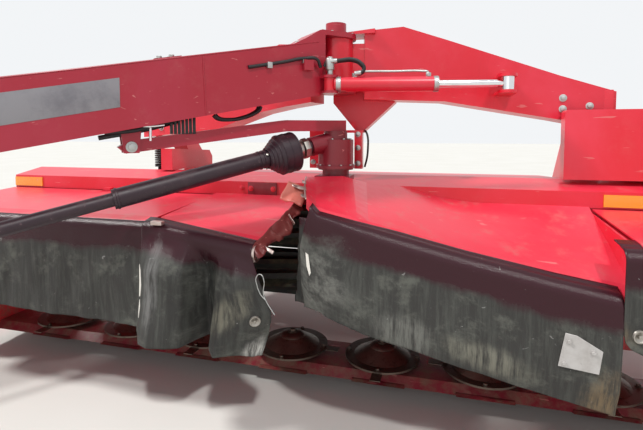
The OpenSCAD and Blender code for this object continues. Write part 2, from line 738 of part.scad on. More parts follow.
module driveline_front() {
    z = drive_z(drive_end_r);
    color(black) on_tongue() {
        bar_between([0, -drive_end_r, z], [0, -drive_end_r - 80, z], 40 - seat);
        bar_between([0, -drive_end_r - 70, z], [0, -drive_rest_r + 70, drive_rest_z], drive_front_tube_r - 5);
        bar_between([0, -drive_rest_r + 62, drive_rest_z], [0, -drive_rest_r - 80, drive_rest_z], drive_front_tube_r);
        // Yoke with its two fork ears
        bar_between([0, -drive_rest_r - 78, drive_rest_z], [0, -drive_rest_r - 130, drive_rest_z], 34);
        for (side = [-1, 1])
            side_profile([[-drive_rest_r - 125, drive_rest_z - 24], [-drive_rest_r - 125, drive_rest_z + 24],
                [-drive_rest_r - 190, drive_rest_z + 20], [-drive_rest_r - 190, drive_rest_z - 20]], 12, side * 21);
    }
}

module jack_tube() {
    top = tongue_top(jack_r) + 160;
    color(black) on_tongue() translate([-jack_side, -jack_r, 0]) {
        difference() {
            block([-jack_tube_s / 2, -jack_tube_s / 2, 400], [jack_tube_s / 2, jack_tube_s / 2, top]);
            block([-jack_leg_s / 2 - seat, -jack_leg_s / 2 - seat, 399], [jack_leg_s / 2 + seat, jack_leg_s / 2 + seat, top - 6]);
        }
        block([jack_tube_s / 2, -60, 640], [jack_side - tongue_w / 2, 60, 790]);
    }
}

module jack_leg() {
    color(steel) on_tongue() translate([-jack_side, -jack_r, 0]) {
        block([-jack_leg_s / 2, -jack_leg_s / 2, 10], [jack_leg_s / 2, jack_leg_s / 2, 700]);
        block([-110, -110, 0], [110, 110, 12]);
    }
}

module swivel_gearbox() {
    color(dark_red) on_tongue() {
        translate([0, 0, swivel_z + seat]) cylinder(r = 92, h = 1290 - swivel_z - seat, $fn = 96);
        translate([0, 0, 1289]) cylinder(r = 60, h = steer_z - 1289, $fn = 64);
        translate([0, 0, swivel_z + 8]) cylinder(r = 101, h = 14, $fn = 96);
        bar_between([0, -40, drive_z(40)], [0, -155, drive_z(155)], 48);
    }
}

module driveline_rear() {
    color(black) on_tongue() {
        bar_between([0, -155 - seat, drive_z(155)], [0, -drive_start_r - 10, drive_z(drive_start_r + 10)], 36);
        bar_between([0, -drive_start_r, drive_z(drive_start_r)], [0, -drive_start_r - 85, drive_z(drive_start_r + 85)], 98);
        translate([0, -drive_start_r - 84, drive_z(drive_start_r + 84)]) rotate([90 + drive_pitch, 0, 0])
            cylinder(r1 = 97, r2 = 50, h = 60, $fn = 64);
        bar_between([0, -drive_start_r - 80, drive_z(drive_start_r + 80)], [0, -drive_step_r, drive_z(drive_step_r)], 42);
        bar_between([0, -drive_step_r + 5, drive_z(drive_step_r - 5)], [0, -drive_end_r + 40, drive_z(drive_end_r - 40)], 29);
    }
}

module steering_arm() {
    color(dark_red) on_tongue()
        side_profile([[45, steer_z + seat], [45, steer_z + 56], [-300, steer_z + 52], [-1010, 1290], [-1050, 1264],
            [-1020, 1238], [-300, steer_z - 3], [-62, steer_z + seat]], steer_w);
}

// A cylinder stands along its own +Z from its base pin; this lays it from p to q
module laid(p, q) {
    d = q - p;
    translate(p) rotate([0, 90 - asin(d[2] / norm(d)), atan2(d[1], d[0])]) children();
}

module swing_barrel() {
    color(dark_red) placed() laid(swing_lug, swing_eye) difference() {
        union() {
            translate([0, 0, 20]) cylinder(r = swing_barrel_r, h = 490, $fn = 64);
            rotate([0, 90, 0]) cylinder(r = 29, h = 2 * (clevis_half - seat), center = true, $fn = 48);
        }
        rotate([0, 90, 0]) cylinder(r = swing_pin_r + fit, h = 100, center = true, $fn = 48);
        // Flats beside the lug's plates
        for (side = [-1, 1]) translate([side * (clevis_half - seat + 10), 0, 20]) cube([20, 80, 110], center = true);
        translate([0, 0, 100]) cylinder(r = swing_rod_r + fit, h = 500, $fn = 64);
    }
}

module swing_rod() {
    color(chrome) placed() laid(swing_lug, swing_eye) {
        translate([0, 0, 310]) cylinder(r = swing_rod_r, h = swing_len - 330, $fn = 64);
        translate([0, 0, swing_len]) rotate([0, 90, 0]) cylinder(r = 30, h = 2 * (clevis_half - seat), center = true, $fn = 48);
    }
}

// A hose of radius r through the points of a hand-laid route, with an elbow at each bend
module hose(points, r) {
    for (i = [1 : len(points) - 1]) bar_between(points[i - 1], points[i], r);
    for (i = [1 : len(points) - 2]) translate(points[i]) sphere(r = r + 2, $fn = 32);
}

// Fitting on the swing lug, and the pair of hoses that loops under the tongue
module tongue_hoses() {
    angle = swing_lug_angle + swing;
    color(black) on_tongue() {
        translate([swing_lug_r * cos(angle), swing_lug_r * sin(angle), lug_top_z + seat]) cylinder(r = 15, h = fitting_h, $fn = 48);
        for (dx = [-14, 14])
            hose([[dx, -640, tongue_foot(640) - hose_r], [dx, -590, tongue_foot(590) - 34],
                [dx, -480, tongue_foot(480) - 34], [dx, -430, tongue_foot(430) - hose_r]], hose_r);
    }
}

// Hoses and pipe that turn with the swing cylinder: a pair that loops from the standpipe
// over its base pin to the port at its base, and the pipe to the port at its rod end
module swing_hoses() {
    pipe_z = lug_top_z - swing_z + fitting_h + 2 * seat;
    port_z = swing_barrel_r + seat;
    color(black) placed() translate(swing_lug) rotate([0, 0, atan2(swing_dir[1], swing_dir[0])]) {
        translate([0, 0, pipe_z]) cylinder(r = 22, h = 58, $fn = 48);
        for (dy = [-14, 14])
            hose([[2, dy, pipe_z + 42], [125, dy, pipe_z + 34], [150, dy, pipe_z - 2], [118, dy, port_z + 14]], hose_r);
        block([88, -26, port_z], [130, 26, port_z + 26]);
        bar_between([120, 0, port_z + 11], [470, 0, port_z + 11], 6);
        block([450, -14, port_z], [486, 14, port_z + 22]);
    }
}

module wheel_arm(side) {
    x = leg_half + 48;
    color(red) placed() mirror([side > 0 ? 0 : 1, 0, 0]) {
        // Pivot pin in the leg's bore, and the arm outside the leg
        x_bar(arm_pivot_r, leg_half - leg_w - 12, leg_half + 6, arm_pivot[0], arm_pivot[1]);
        x_bar(60, leg_half + 3, x + 45, arm_pivot[0], arm_pivot[1]);
        side_profile([[arm_pivot[0] - 40, arm_pivot[1] - 45], [arm_pivot[0] + 10, arm_pivot[1] + 58],
            [axle_y + 20, tyre_r + 62], [axle_y + 62, tyre_r - 10], [axle_y - 10, tyre_r - 62]], 80, x);
        x_bar(55, leg_half + 8, x + 42, axle_y, tyre_r);
        // Stub axle
        x_bar(30, x + 40, wheel_x + 60, axle_y, tyre_r);
        // Ears that the lift rod's eye sits between
        for (dx = [-lift_ear, lift_ear])
            side_profile([[lift_eye[0] - 70, lift_eye[1] - 120], [lift_eye[0] - 34, lift_eye[1] + 20], [lift_eye[0], lift_eye[1] + 36],
                [lift_eye[0] + 34, lift_eye[1] + 20], [lift_eye[0] + 70, lift_eye[1] - 120]], 12, x + dx);
    }
}

module wheel_arm_left() wheel_arm(1);
module wheel_arm_right() wheel_arm(-1);

module lift_laid(side) {
    placed() translate([side * lift_x, lift_top[0], lift_top[1]]) rotate([lift_tilt - 90, 0, 0]) children();
}

module lift_barrel(side) {
    color(black) lift_laid(side) difference() {
        union() {
            rotate([0, 90, 0]) cylinder(r = 44, h = 50, center = true, $fn = 64);
            cylinder(r = lift_barrel_r, h = 600, $fn = 64);
        }
        rotate([0, 90, 0]) cylinder(r = lift_pin_r + fit, h = 90, center = true, $fn = 64);
        translate([0, 0, 120]) cylinder(r = lift_rod_r + fit, h = 600, $fn = 64);
    }
}

module lift_barrel_left() lift_barrel(1);
module lift_barrel_right() lift_barrel(-1);

module lift_rod(side) {
    color(chrome) lift_laid(side) {
        translate([0, 0, 400]) cylinder(r = lift_rod_r, h = lift_len - 415, $fn = 64);
        translate([0, 0, lift_len]) rotate([0, 90, 0]) cylinder(r = 27, h = 2 * (lift_ear - 6 - seat), center = true, $fn = 48);
    }
}

module lift_rod_left() lift_rod(1);
module lift_rod_right() lift_rod(-1);

module rim(side) {
    color(cream) placed() mirror([side > 0 ? 0 : 1, 0, 0]) translate([wheel_x, axle_y, tyre_r]) rotate([0, 90, 0]) {
        rotate_extrude($fn = 96)
            polygon([[30 + fit, -60], [70, -60], [70, -10], [rim_r - 15, -10], [rim_r - 15, -tyre_w / 2 + 30],
                [rim_r + 12, -tyre_w / 2 + 22], [rim_r + 12, -tyre_w / 2 + 30], [rim_r - seat, -tyre_w / 2 + 42],
                [rim_r - seat, tyre_w / 2 - 42], [rim_r + 12, tyre_w / 2 - 30], [rim_r + 12, tyre_w / 2 - 22],
                [rim_r - 15, tyre_w / 2 - 30], [rim_r - 15, 0], [70, 0], [70, 55], [30 + fit, 55]]);
    }
}

module rim_left() rim(1);
module rim_right() rim(-1);

module tyre(side) {
    h = tyre_w / 2;
    color(black) placed() mirror([side > 0 ? 0 : 1, 0, 0]) translate([wheel_x, axle_y, tyre_r]) rotate([0, 90, 0])
        rotate_extrude($fn = 96)
            polygon([[rim_r, -h + 42], [rim_r + 13, -h + 30], [rim_r + 22, -h + 20], [rim_r + 60, -h + 4],
                [rim_r + 100, -h], [tyre_r - 50, -h + 6], [tyre_r - 15, -h + 26], [tyre_r, -h + 70], [tyre_r, h - 70],
                [tyre_r - 15, h - 26], [tyre_r - 50, h - 6], [rim_r + 100, h], [rim_r + 60, h - 4],
                [rim_r + 22, h - 20], [rim_r + 13, h - 30], [rim_r, h - 42]]);
}

module tyre_left() tyre(1);
module tyre_right() tyre(-1);

main_frame();
header_shell();
cutterbar();
header_gearbox();
drive_box();
drive_tower();
float_links();
reflectors();
inner_shield_left();
inner_shield_right();
inner_curtain_left();
inner_curtain_right();
outer_shield_left();
outer_curtain_left();
outer_shield_right();
outer_curtain_right();
disc_1();
disc_2();
disc_3();
disc_4();
disc_5();
disc_6();
disc_7();
disc_8();
roll_lower();
roll_upper();
swathboard();
windrow_left();
windrow_right();
tongue_beam();
hitch_clevis();
driveline_carrier();
driveline_front();
jack_tube();
jack_leg();
swivel_gearbox();
driveline_rear();
steering_arm();
swing_barrel();
swing_rod();
swing_hoses();
tongue_hoses();
wheel_arm_left();
wheel_arm_right();
lift_barrel_left();
lift_barrel_right();
lift_rod_left();
lift_rod_right();
rim_left();
rim_right();
tyre_left();
tyre_right();
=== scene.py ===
# %% [markdown]
# # A pull-type disc mower conditioner, dressed for its picture
# The CAD model gives every solid its place and its joints. This lesson loads it as a fixed frame, gives
# each solid a worn finish, and adds what solids show badly: rubber curtains, coil springs, tyre ribs,
# roll lugs, bolts and bent sheet edges.

# %% Load the frame
import math

import bmesh
import bpy
from mathutils import Matrix, Vector, noise


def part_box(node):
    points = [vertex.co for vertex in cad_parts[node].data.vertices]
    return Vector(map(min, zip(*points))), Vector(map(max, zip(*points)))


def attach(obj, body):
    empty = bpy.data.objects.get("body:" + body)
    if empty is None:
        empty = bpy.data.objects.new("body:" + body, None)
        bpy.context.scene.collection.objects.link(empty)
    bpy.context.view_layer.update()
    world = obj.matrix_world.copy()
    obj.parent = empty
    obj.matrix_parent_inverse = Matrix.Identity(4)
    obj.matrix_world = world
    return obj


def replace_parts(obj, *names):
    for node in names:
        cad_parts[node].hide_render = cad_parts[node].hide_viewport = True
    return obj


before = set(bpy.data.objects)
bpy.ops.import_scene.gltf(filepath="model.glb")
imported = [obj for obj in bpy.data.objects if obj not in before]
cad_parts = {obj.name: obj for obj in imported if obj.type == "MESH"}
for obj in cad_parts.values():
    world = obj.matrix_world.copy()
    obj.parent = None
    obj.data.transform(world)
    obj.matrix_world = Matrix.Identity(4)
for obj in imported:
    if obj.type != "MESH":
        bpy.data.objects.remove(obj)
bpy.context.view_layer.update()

# %% [markdown]
# All work is measured from the tongue's pivot. The two middle discs stand at equal distances on its
# left and right, and the lower roll's shaft lies a known way behind it, so their boxes say where it is.

# %% Find the pivot
LOWER_ROLL_Y = 0.52
SWING = math.radians(45)


def middle(node):
    lo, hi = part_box(node)
    return (lo + hi) / 2


PIVOT = Vector(((middle("disc_4").x + middle("disc_5").x) / 2, middle("roll_lower").y - LOWER_ROLL_Y, 0))


def spot(x, y, z):
    """A point of the machine, measured from the pivot's foot."""
    return PIVOT + Vector((x, y, z))


def on_tongue(side, reach, z):
    """A point beside the tongue: side is to its left when one looks along it to the tractor."""
    ahead = Vector((-math.sin(SWING), -math.cos(SWING), 0))
    left = Vector((math.cos(SWING), -math.sin(SWING), 0))
    return PIVOT + ahead * reach + left * side + Vector((0, 0, z))


print("pivot at", [round(c, 4) for c in PIVOT])

# %% [markdown]
# ## Camera
# The photograph was taken by a standing person a little more than two metres ahead of the pivot,
# turned fifteen degrees to the left. The horizon lies high in the picture, so the lens is shifted
# down more than it is tilted: uprights stay nearly upright, as they do there.

# %% Set the camera
CAMERA_SPOT = (0.549, -2.292, 1.315)
TILT, TURN = math.radians(3.3), math.radians(15.3)
camera = bpy.data.objects.new("camera", bpy.data.cameras.new("camera"))
bpy.context.scene.collection.objects.link(camera)
camera.data.lens = 25.08
camera.data.sensor_width = 36
camera.data.shift_y = -0.0846
camera.data.clip_end = 200
camera.location = spot(*CAMERA_SPOT)
camera.rotation_euler = (math.pi / 2 - TILT, 0, TURN)
bpy.context.scene.camera = camera
bpy.context.scene.view_settings.view_transform = "Standard"
print("camera at", [round(c, 3) for c in camera.location])

# %% [markdown]
# ## Small tools for meshes
# Every new piece is a bmesh that starts from one of Blender's own primitives. These helpers place a
# block, a rod, a bolt or a turned shape in it, and take the sharpness off its edges.


# %% Block, rod, bolt and turned shape
def edges_of(verts):
    return list(dict.fromkeys(e for v in verts for e in v.link_edges))


def round_off(bm, edges, width, segments=2):
    return bmesh.ops.bevel(bm, geom=edges, offset=width, offset_type="OFFSET", segments=segments,
                           profile=0.5, affect="EDGES", material=-1)["verts"]


def add_block(bm, lo, hi, bevel, turn=0.0):
    lo, hi = Vector(lo), Vector(hi)
    place = Matrix.Translation((lo + hi) / 2) @ Matrix.Diagonal((*(hi - lo), 1))
    made = bmesh.ops.create_cube(bm, size=1, matrix=place)["verts"]
    grown = round_off(bm, edges_of(made), bevel)
    made = list(dict.fromkeys([*grown, *(v for v in made if v.is_valid)]))
    if turn:
        bmesh.ops.rotate(bm, verts=made, cent=(lo + hi) / 2, matrix=Matrix.Rotation(turn, 3, "Z"))
    return made


def aim(direction):
    """A rotation that turns +Z to a direction."""
    return Vector(direction).to_track_quat("Z", "Y").to_matrix().to_4x4()


def add_rod(bm, start, end, radius, sides, bevel=0.0):
    start, end = Vector(start), Vector(end)
    place = Matrix.Translation((start + end) / 2) @ aim(end - start)
    made = bmesh.ops.create_cone(bm, cap_ends=True, segments=sides, radius1=radius, radius2=radius,
                                 depth=(end - start).length, matrix=place)["verts"]
    if bevel:
        round_off(bm, [e for e in edges_of(made) if e.is_manifold and e.calc_face_angle(0) > 1.0], bevel)


def add_bolt(bm, at, out, head, washer=True):
    """A hexagon head on its washer. head is half the width over flats."""
    at, out = Vector(at), Vector(out).normalized()
    if washer:
        add_rod(bm, at, at + out * head * 0.22, head * 1.75, sides=20, bevel=head * 0.06)
    add_rod(bm, at + out * head * 0.2, at + out * head * 1.2, head * 1.15, sides=6, bevel=head * 0.1)


def add_round(bm, profile, at, along, steps):
    """Spins a list of (radius, height) points round a line through at."""
    turn = aim(along)
    verts = [bm.verts.new(Vector(at) + turn @ Vector((r, 0, h))) for r, h in profile]
    edges = [bm.edges.new(pair) for pair in zip(verts, verts[1:])]
    bmesh.ops.spin(bm, geom=verts + edges, cent=at, axis=turn @ Vector((0, 0, 1)), steps=steps,
                   angle=2 * math.pi, use_merge=True)


def ring(count, radius, start=0.0):
    """Pairs of sides that step round a circle."""
    turns = [start + k * 2 * math.pi / count for k in range(count)]
    return [(radius * math.cos(turn), radius * math.sin(turn)) for turn in turns]


print("mesh tools ready")

# %% [markdown]
# A finished bmesh becomes an object at the origin. It is shaded smooth, except where two faces meet at
# more than the crease angle, and it rides on the body of the frame that carries it.


# %% Turn a mesh or a curve into a piece
def add_piece(name, data, finish, body):
    piece = bpy.data.objects.new(name, data)
    bpy.context.scene.collection.objects.link(piece)
    data.materials.append(finish)
    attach(piece, body)
    return piece


def make_piece(bm, name, finish, body, crease=35, merge=1e-5):
    bmesh.ops.remove_doubles(bm, verts=bm.verts, dist=merge)
    bmesh.ops.recalc_face_normals(bm, faces=bm.faces)
    mesh = bpy.data.meshes.new(name)
    bm.to_mesh(mesh)
    bm.free()
    mesh.polygons.foreach_set("use_smooth", [True] * len(mesh.polygons))
    mesh.set_sharp_from_angle(angle=math.radians(crease))
    return add_piece(name, mesh, finish, body)


print("pieces can be made")

# %% [markdown]
# ## Small tools for finishes
# A finish is a Principled shader whose colour and roughness come from a few noises, read in Object
# coordinates so that they stay on the metal. The helpers keep each finish down to the lines that
# say what is worn, where, and how much.


# %% Helpers for shader nodes
def rgb(code):
    """Linear colour from a six-figure screen colour."""
    parts = [int(code[i:i + 2], 16) / 255 for i in (0, 2, 4)]
    return tuple(c / 12.92 if c <= 0.04045 else ((c + 0.055) / 1.055) ** 2.4 for c in parts) + (1,)


def feed(tree, socket, value):
    """Links an output to a socket, or sets the socket's own value."""
    if isinstance(value, bpy.types.NodeSocket):
        tree.links.new(value, socket)
    else:
        socket.default_value = value


def add_node(tree, kind, inputs, out=0, **settings):
    """Adds a shader node, fills its inputs and returns one of its outputs."""
    made = tree.nodes.new("ShaderNode" + kind)
    for name, value in settings.items():
        setattr(made, name, value)
    for name, value in inputs.items():
        feed(tree, made.inputs[name], value)
    return made.outputs[out]


class Finish:
    def __init__(self, name, base, roughness, metallic=0.0, coordinates="Object"):
        self.material = bpy.data.materials.new(name)
        self.material.use_nodes = True
        self.tree = self.material.node_tree
        self.shader = self.tree.nodes["Principled BSDF"]
        self.colour, self.rough = rgb(base), roughness
        self.fill({"Metallic": metallic})
        self.where = self.node("TexCoord", {}, coordinates)

    def node(self, kind, inputs, out=0, **settings):
        return add_node(self.tree, kind, inputs, out, **settings)

    def fill(self, values):
        for name, value in values.items():
            feed(self.tree, self.shader.inputs[name], value)

    def stretch(self, scale):
        return self.node("Mapping", {"Vector": self.where, "Scale": scale})

    def noise(self, scale, detail=4, rough=0.55, where=None, warp=0.0):
        return self.node("TexNoise", {"Vector": where or self.where, "Scale": scale, "Detail": detail,
                                      "Roughness": rough, "Distortion": warp})

    def between(self, value, low, high):
        """0 below low, 1 above high, and a soft step in between."""
        return self.node("MapRange", {"Value": value, "From Min": low, "From Max": high},
                         interpolation_type="SMOOTHSTEP")

    def maths(self, kind, a, b):
        return self.node("Math", {0: a, 1: b}, operation=kind)

    def times(self, a, b):
        return self.maths("MULTIPLY", a, b)

    def share(self, value, low, high, amount):
        """A soft step that ends at an amount below 1."""
        return self.times(self.between(value, low, high), amount)

    def waves(self, across, down, pitch):
        """A grid of small bumps from two sine waves."""
        first = self.maths("SINE", self.times(across, pitch), 0)
        return self.times(first, self.maths("SINE", self.times(down, pitch), 0))

    def part(self, axis, source=None):
        return self.node("SeparateXYZ", {0: source or self.where}, axis)

    def near(self, x, y, wide, tall, turn):
        """1 in a ragged oval round a point of the UV map, and 0 outside it."""
        place = self.node("Mapping", {"Vector": self.where, "Location": (x, y, 0), "Rotation": (0, 0, turn),
                                      "Scale": (wide, tall, 1)}, vector_type="TEXTURE")
        length = self.node("VectorMath", {0: place}, "Value", operation="LENGTH")
        return self.between(self.maths("ADD", length, self.times(self.noise(14, 6, 0.7), 0.8)), 1.45, 0.75)

    def facing(self):
        """How much a face looks up, from -1 to 1."""
        return self.part("Z", self.node("NewGeometry", {}, "Normal"))

    def cover(self, amount, colour, roughness=None):
        """Lays a colour over what there is, by an amount from 0 to 1."""
        self.colour = self.node("Mix", {0: amount, 6: self.colour, 7: rgb(colour)}, 2, data_type="RGBA")
        if roughness is not None:
            self.rough = self.node("Mix", {0: amount, 2: self.rough, 3: roughness}, data_type="FLOAT")

    def emboss(self, height, depth, strength):
        inputs = {"Strength": strength, "Distance": depth, "Height": height}
        under = self.shader.inputs["Normal"].links
        if under:
            inputs["Normal"] = under[0].from_socket
        self.fill({"Normal": self.node("Bump", inputs)})

    def done(self, **more):
        self.fill({"Base Color": self.colour, "Roughness": self.rough})
        self.fill({name.replace("_", " "): value for name, value in more.items()})
        return self.material


print("finish tools ready")

# %% [markdown]
# ## Red paint
# The machine's paint is a bright red. It is faded towards pink in clouds, and it is paler on faces that look
# up, where the pink is partly bleaching and partly a painted sheen of the sky. It carries pale dust on its
# flat tops, fine scratches along the sheets, chips down to grey primer, and mud film near the ground. Each of
# these is one noise with a threshold.


# %% Mix the red paints
def red_paint(name, fresh, fade_and_sheen, gloss):
    paint = Finish(name, fresh, gloss)
    up = paint.between(paint.facing(), 0.15, 0.95)
    clouds = paint.noise(1.7, 5, 0.6, warp=0.4)
    paint.cover(paint.share(clouds, 0.35, 0.75, 0.55), fade_and_sheen, gloss + 0.08)
    # Faces that look up turn paler: partly bleached paint, partly a painted sheen of the sky.
    paint.cover(paint.times(up, 0.35), fade_and_sheen, gloss + 0.1)
    dust = paint.between(paint.noise(9, 8, 0.7), 0.5, 0.8)
    paint.cover(paint.times(dust, paint.maths("ADD", paint.times(up, 0.4), 0.1)), "B98B80", 0.62)
    streaks = paint.noise(7, 6, 0.7, paint.stretch((1, 1, 0.12)))
    paint.cover(paint.share(streaks, 0.62, 0.8, 0.16), "5A1416", 0.5)
    low = paint.between(paint.part("Z"), 0.75, 0.05)
    mud = paint.times(low, paint.between(paint.noise(16, 8, 0.75), 0.38, 0.7))
    paint.cover(paint.times(mud, 0.8), "7B6A55", 0.85)
    scratches = paint.noise(60, 3, 0.5, paint.stretch((0.09, 0.5, 1)), warp=0.6)
    paint.cover(paint.share(scratches, 0.69, 0.72, 0.5), "D98A86", 0.5)
    chips = paint.between(paint.noise(46, 6, 0.7), 0.715, 0.73)
    paint.cover(chips, "6A5A57", 0.6)
    paint.cover(paint.share(paint.noise(21, 9, 0.8, warp=0.3), 0.74, 0.8, 0.8), "59301F", 0.85)
    paint.emboss(clouds, 0.02, 0.25)
    paint.emboss(chips, -0.0004, 0.8)
    paint.emboss(paint.noise(420, 2), 0.0003, 0.15)
    return paint.done(Coat_Weight=0.25, Coat_Roughness=0.22)


RED = red_paint("red_paint", "D5132C", "E2435B", 0.36)
# A darker copy of the red for the tongue and the steering arm: painted shade, because the tongue's side lies
# in shade.
TONGUE_SHADE_RED = red_paint("tongue_shade_red_paint", "A30F29", "B02C46", 0.42)
# A still darker copy of the red, which paints deep shade on the parts it dresses, among them the swivel
# gearbox in its cage.
DEEP_SHADE_RED = red_paint("dark_red_paint", "780B1D", "8E2438", 0.45)
# A pale orange-pink copy for the bent corner: partly bleached paint, partly a painted highlight on its bent
# facets.
BLEACHED_AND_SHEEN = red_paint("bleached_and_sheen_paint", "C4463F", "BE7766", 0.55)
# A dark brown-red for the crumpled flange: painted shade, because the flange hangs in the shade under the
# sheet's edge.
FLANGE_SHADE_RED = red_paint("flange_shade_red_paint", "6B1F22", "7E3B34", 0.6)
print("red paints mixed")

# %% [markdown]
# ## Rubber cloth
# The curtains are woven cloth coated with rubber. Near the rolled edge they are satin and nearly black: that
# band is a painted shadow of the roll, and its maroon tint is a painted reflection of the red sheet above.
# Lower down, crop dust has dried on them in upright streaks. Their pattern follows the sheet, so it reads a
# UV map in metres: along the curtain, and down it.

# %% Mix the curtain cloth
STAINS_AND_FOLD_LIGHT = (  # middle on the UV map, half width, half height, turn, colour
    (-0.26, 0.58, 0.045, 0.1, 0.3, "C4C2BC"),
    (1.1, 0.58, 0.1, 0.24, 0.2, "7C6A52"),
    (0.72, 0.46, 0.2, 0.07, 0.1, "77756A"),
    (0.42, 0.47, 0.14, 0.1, 0.0, "6C6C67"),
    # The next two ovals are painted light on the fronts of the left curtain's folds, and the last is painted
    # shade in the valley between them.
    (-0.66, 0.36, 0.05, 0.22, 0.0, "6E6D6C"),
    (-0.34, 0.4, 0.05, 0.14, 0.5, "7A776A"),
    (-0.455, 0.44, 0.045, 0.3, 0.0, "1B1B19"))


def curtain_cloth(name):
    # The base colour is nearly black with a maroon tint, which paints a reflection of the red sheet above.
    cloth = Finish(name, "34131C", 0.22, coordinates="UV")
    down = cloth.part("Y")
    # Above a ragged line near 0.26 m down the UV map, the cloth keeps that dark colour as a painted shadow of
    # the roll. Below it, and in an oval by the right curtain's torn end, it is dusty and lighter.
    ragged = cloth.maths("ADD", down, cloth.times(cloth.noise(5, 5, 0.6), 0.1))
    dust_below_roll_shadow = cloth.between(ragged, 0.262, 0.302)
    fan = cloth.near(0.09, 0.37, 0.14, 0.22, 0.5)
    dust_below_roll_shadow = cloth.maths("MAXIMUM", dust_below_roll_shadow, cloth.times(fan, 0.9))
    streaks = cloth.noise(26, 8, 0.72, cloth.stretch((1.6, 0.16, 1)), warp=0.04)
    blotch = cloth.noise(5.5, 9, 0.72, warp=0.15)
    cloth.cover(cloth.times(dust_below_roll_shadow, 0.95), "343432", 0.55)
    cloth.cover(cloth.times(dust_below_roll_shadow, cloth.between(streaks, 0.42, 0.7)), "484945", 0.6)
    cloth.cover(cloth.times(dust_below_roll_shadow, cloth.between(blotch, 0.5, 0.66)), "5A5B55", 0.7)
    cloth.cover(cloth.times(fan, cloth.between(blotch, 0.4, 0.58)), "6E6E69", 0.7)
    for *oval, colour in STAINS_AND_FOLD_LIGHT:
        cloth.cover(cloth.times(cloth.near(*oval), cloth.between(streaks, 0.35, 0.62)), colour, 0.8)
    cloth.cover(cloth.share(cloth.noise(19, 4, 0.6, warp=2.2), 0.7, 0.72, 0.5), "9A9A98", 0.7)
    cloth.emboss(cloth.waves(cloth.part("X"), down, 2500), 0.0002, 0.4)
    cloth.emboss(blotch, 0.012, 0.3)
    return cloth.done(Specular_IOR_Level=0.28)


CLOTH = curtain_cloth("curtain_rubber")
print("cloth mixed with", len(STAINS_AND_FOLD_LIGHT), "stains")

# %% [markdown]
# ## Black plastic, paint and rubber
# The other black things differ in gloss, grain and in the colour of the dust on them. The dust lies
# thickest where they face up, so its film is multiplied by the way the surface faces.


# %% Mix the black finishes
def dusty_black(name, base, gloss, dust, amount, grain):
    black = Finish(name, base, gloss)
    up = black.between(black.facing(), -0.1, 0.9)
    film = black.between(black.noise(11, 8, 0.7, warp=0.3), 0.42, 0.72)
    black.cover(black.times(film, black.maths("ADD", black.times(up, amount), amount * 0.35)), dust, 0.8)
    black.cover(black.share(black.noise(70, 4), 0.66, 0.7, 0.5), dust, 0.75)
    black.emboss(black.noise(grain, 3), 0.0005, 0.5)
    return black.done()


GUARD_PLASTIC = dusty_black("guard_plastic", "2A1520", 0.42, "6A5358", 0.3, 300)
BLACK_PAINT = dusty_black("black_paint", "161517", 0.4, "5C5248", 0.4, 160)
TYRE_RUBBER = dusty_black("tyre_rubber", "1B1A1A", 0.72, "6E6252", 0.75, 260)
ROLL_RUBBER = dusty_black("roll_rubber", "201F1E", 0.66, "5B5A44", 0.6, 220)
HOSE_RUBBER = dusty_black("hose_rubber", "17171A", 0.5, "4C4A48", 0.4, 500)
print("black finishes mixed")

# %% [markdown]
# ## Bare metal, lens, cream paint and silver panels
# Polished steel, zinc and chrome differ in tint and in how far they have dulled. The reflectors are
# moulded amber plastic with a grid of small prisms behind the face, which a bump of two sine waves gives.


# %% Mix the metals
def bare_metal(name, base, gloss, stain, amount, brushed=(1, 1, 1)):
    metal = Finish(name, base, gloss, 1.0)
    metal.cover(metal.between(metal.noise(28, 7, 0.75), 0.5, 0.78), stain, gloss + 0.3 * amount)
    lines = metal.noise(160, 3, 0.6, metal.stretch(brushed))
    metal.cover(metal.share(lines, 0.5, 0.8, 0.25), stain, gloss + 0.15)
    metal.cover(metal.share(metal.noise(14, 9, 0.8), 0.62 - 0.1 * amount, 0.76, amount), "5B3A26", 0.85)
    metal.emboss(lines, 0.0002, 0.3)
    return metal.done()


DISC_STEEL = bare_metal("disc_steel", "6E6158", 0.5, "33261E", 0.8)
STEEL = bare_metal("worn_steel", "A9A49D", 0.36, "6D655C", 0.7)
ZINC = bare_metal("zinc_steel", "B4B5B3", 0.42, "8A857C", 0.35)
CHROME = bare_metal("chrome_rod", "E4E4E6", 0.1, "B9B4AE", 0.1, (4, 4, 4))
TORN = bare_metal("torn_steel", "C9B9B2", 0.45, "9C5A55", 0.3)
print("metals mixed")

# %% [markdown]
# Each of the last finishes belongs to one kind of part. Cream rims show brown spots of dirt, and the
# silver panel on the tongue lies in shade, so it is darker than the patch plate on the right curtain.

# %% Mix the lens, the cream paint and the panels
lens = Finish("amber_lens", "F2950F", 0.18)
prisms = lens.waves(lens.part("X"), lens.part("Z"), 1500)
lens.cover(lens.between(prisms, -0.2, 0.9), "FFC24A")
lens.cover(lens.share(lens.noise(30, 6), 0.55, 0.8, 0.4), "C99A6A", 0.5)
lens.emboss(prisms, 0.0006, 0.6)
AMBER = lens.done(Coat_Weight=0.6)

cream = Finish("cream_paint", "D8D2C0", 0.45)
cream.cover(cream.between(cream.noise(8, 8, 0.75), 0.45, 0.75), "A8987C", 0.75)
cream.cover(cream.between(cream.noise(40, 6, 0.7), 0.68, 0.72), "6B432C", 0.85)
CREAM = cream.done()

patch = Finish("silver_panel", "B9B6B4", 0.4)
patch.cover(patch.between(patch.noise(6, 7, 0.7), 0.4, 0.75), "9A9490", 0.5)
patch.cover(patch.between(patch.noise(50, 5, 0.7, patch.stretch((1, 1, 0.3))), 0.66, 0.7), "7A7270", 0.6)
PATCH = patch.done()

shaded = Finish("tongue_panel", "8F8D92", 0.4)
shaded.cover(shaded.between(shaded.noise(6, 7, 0.7), 0.4, 0.75), "75737A", 0.5)
PANEL = shaded.done()

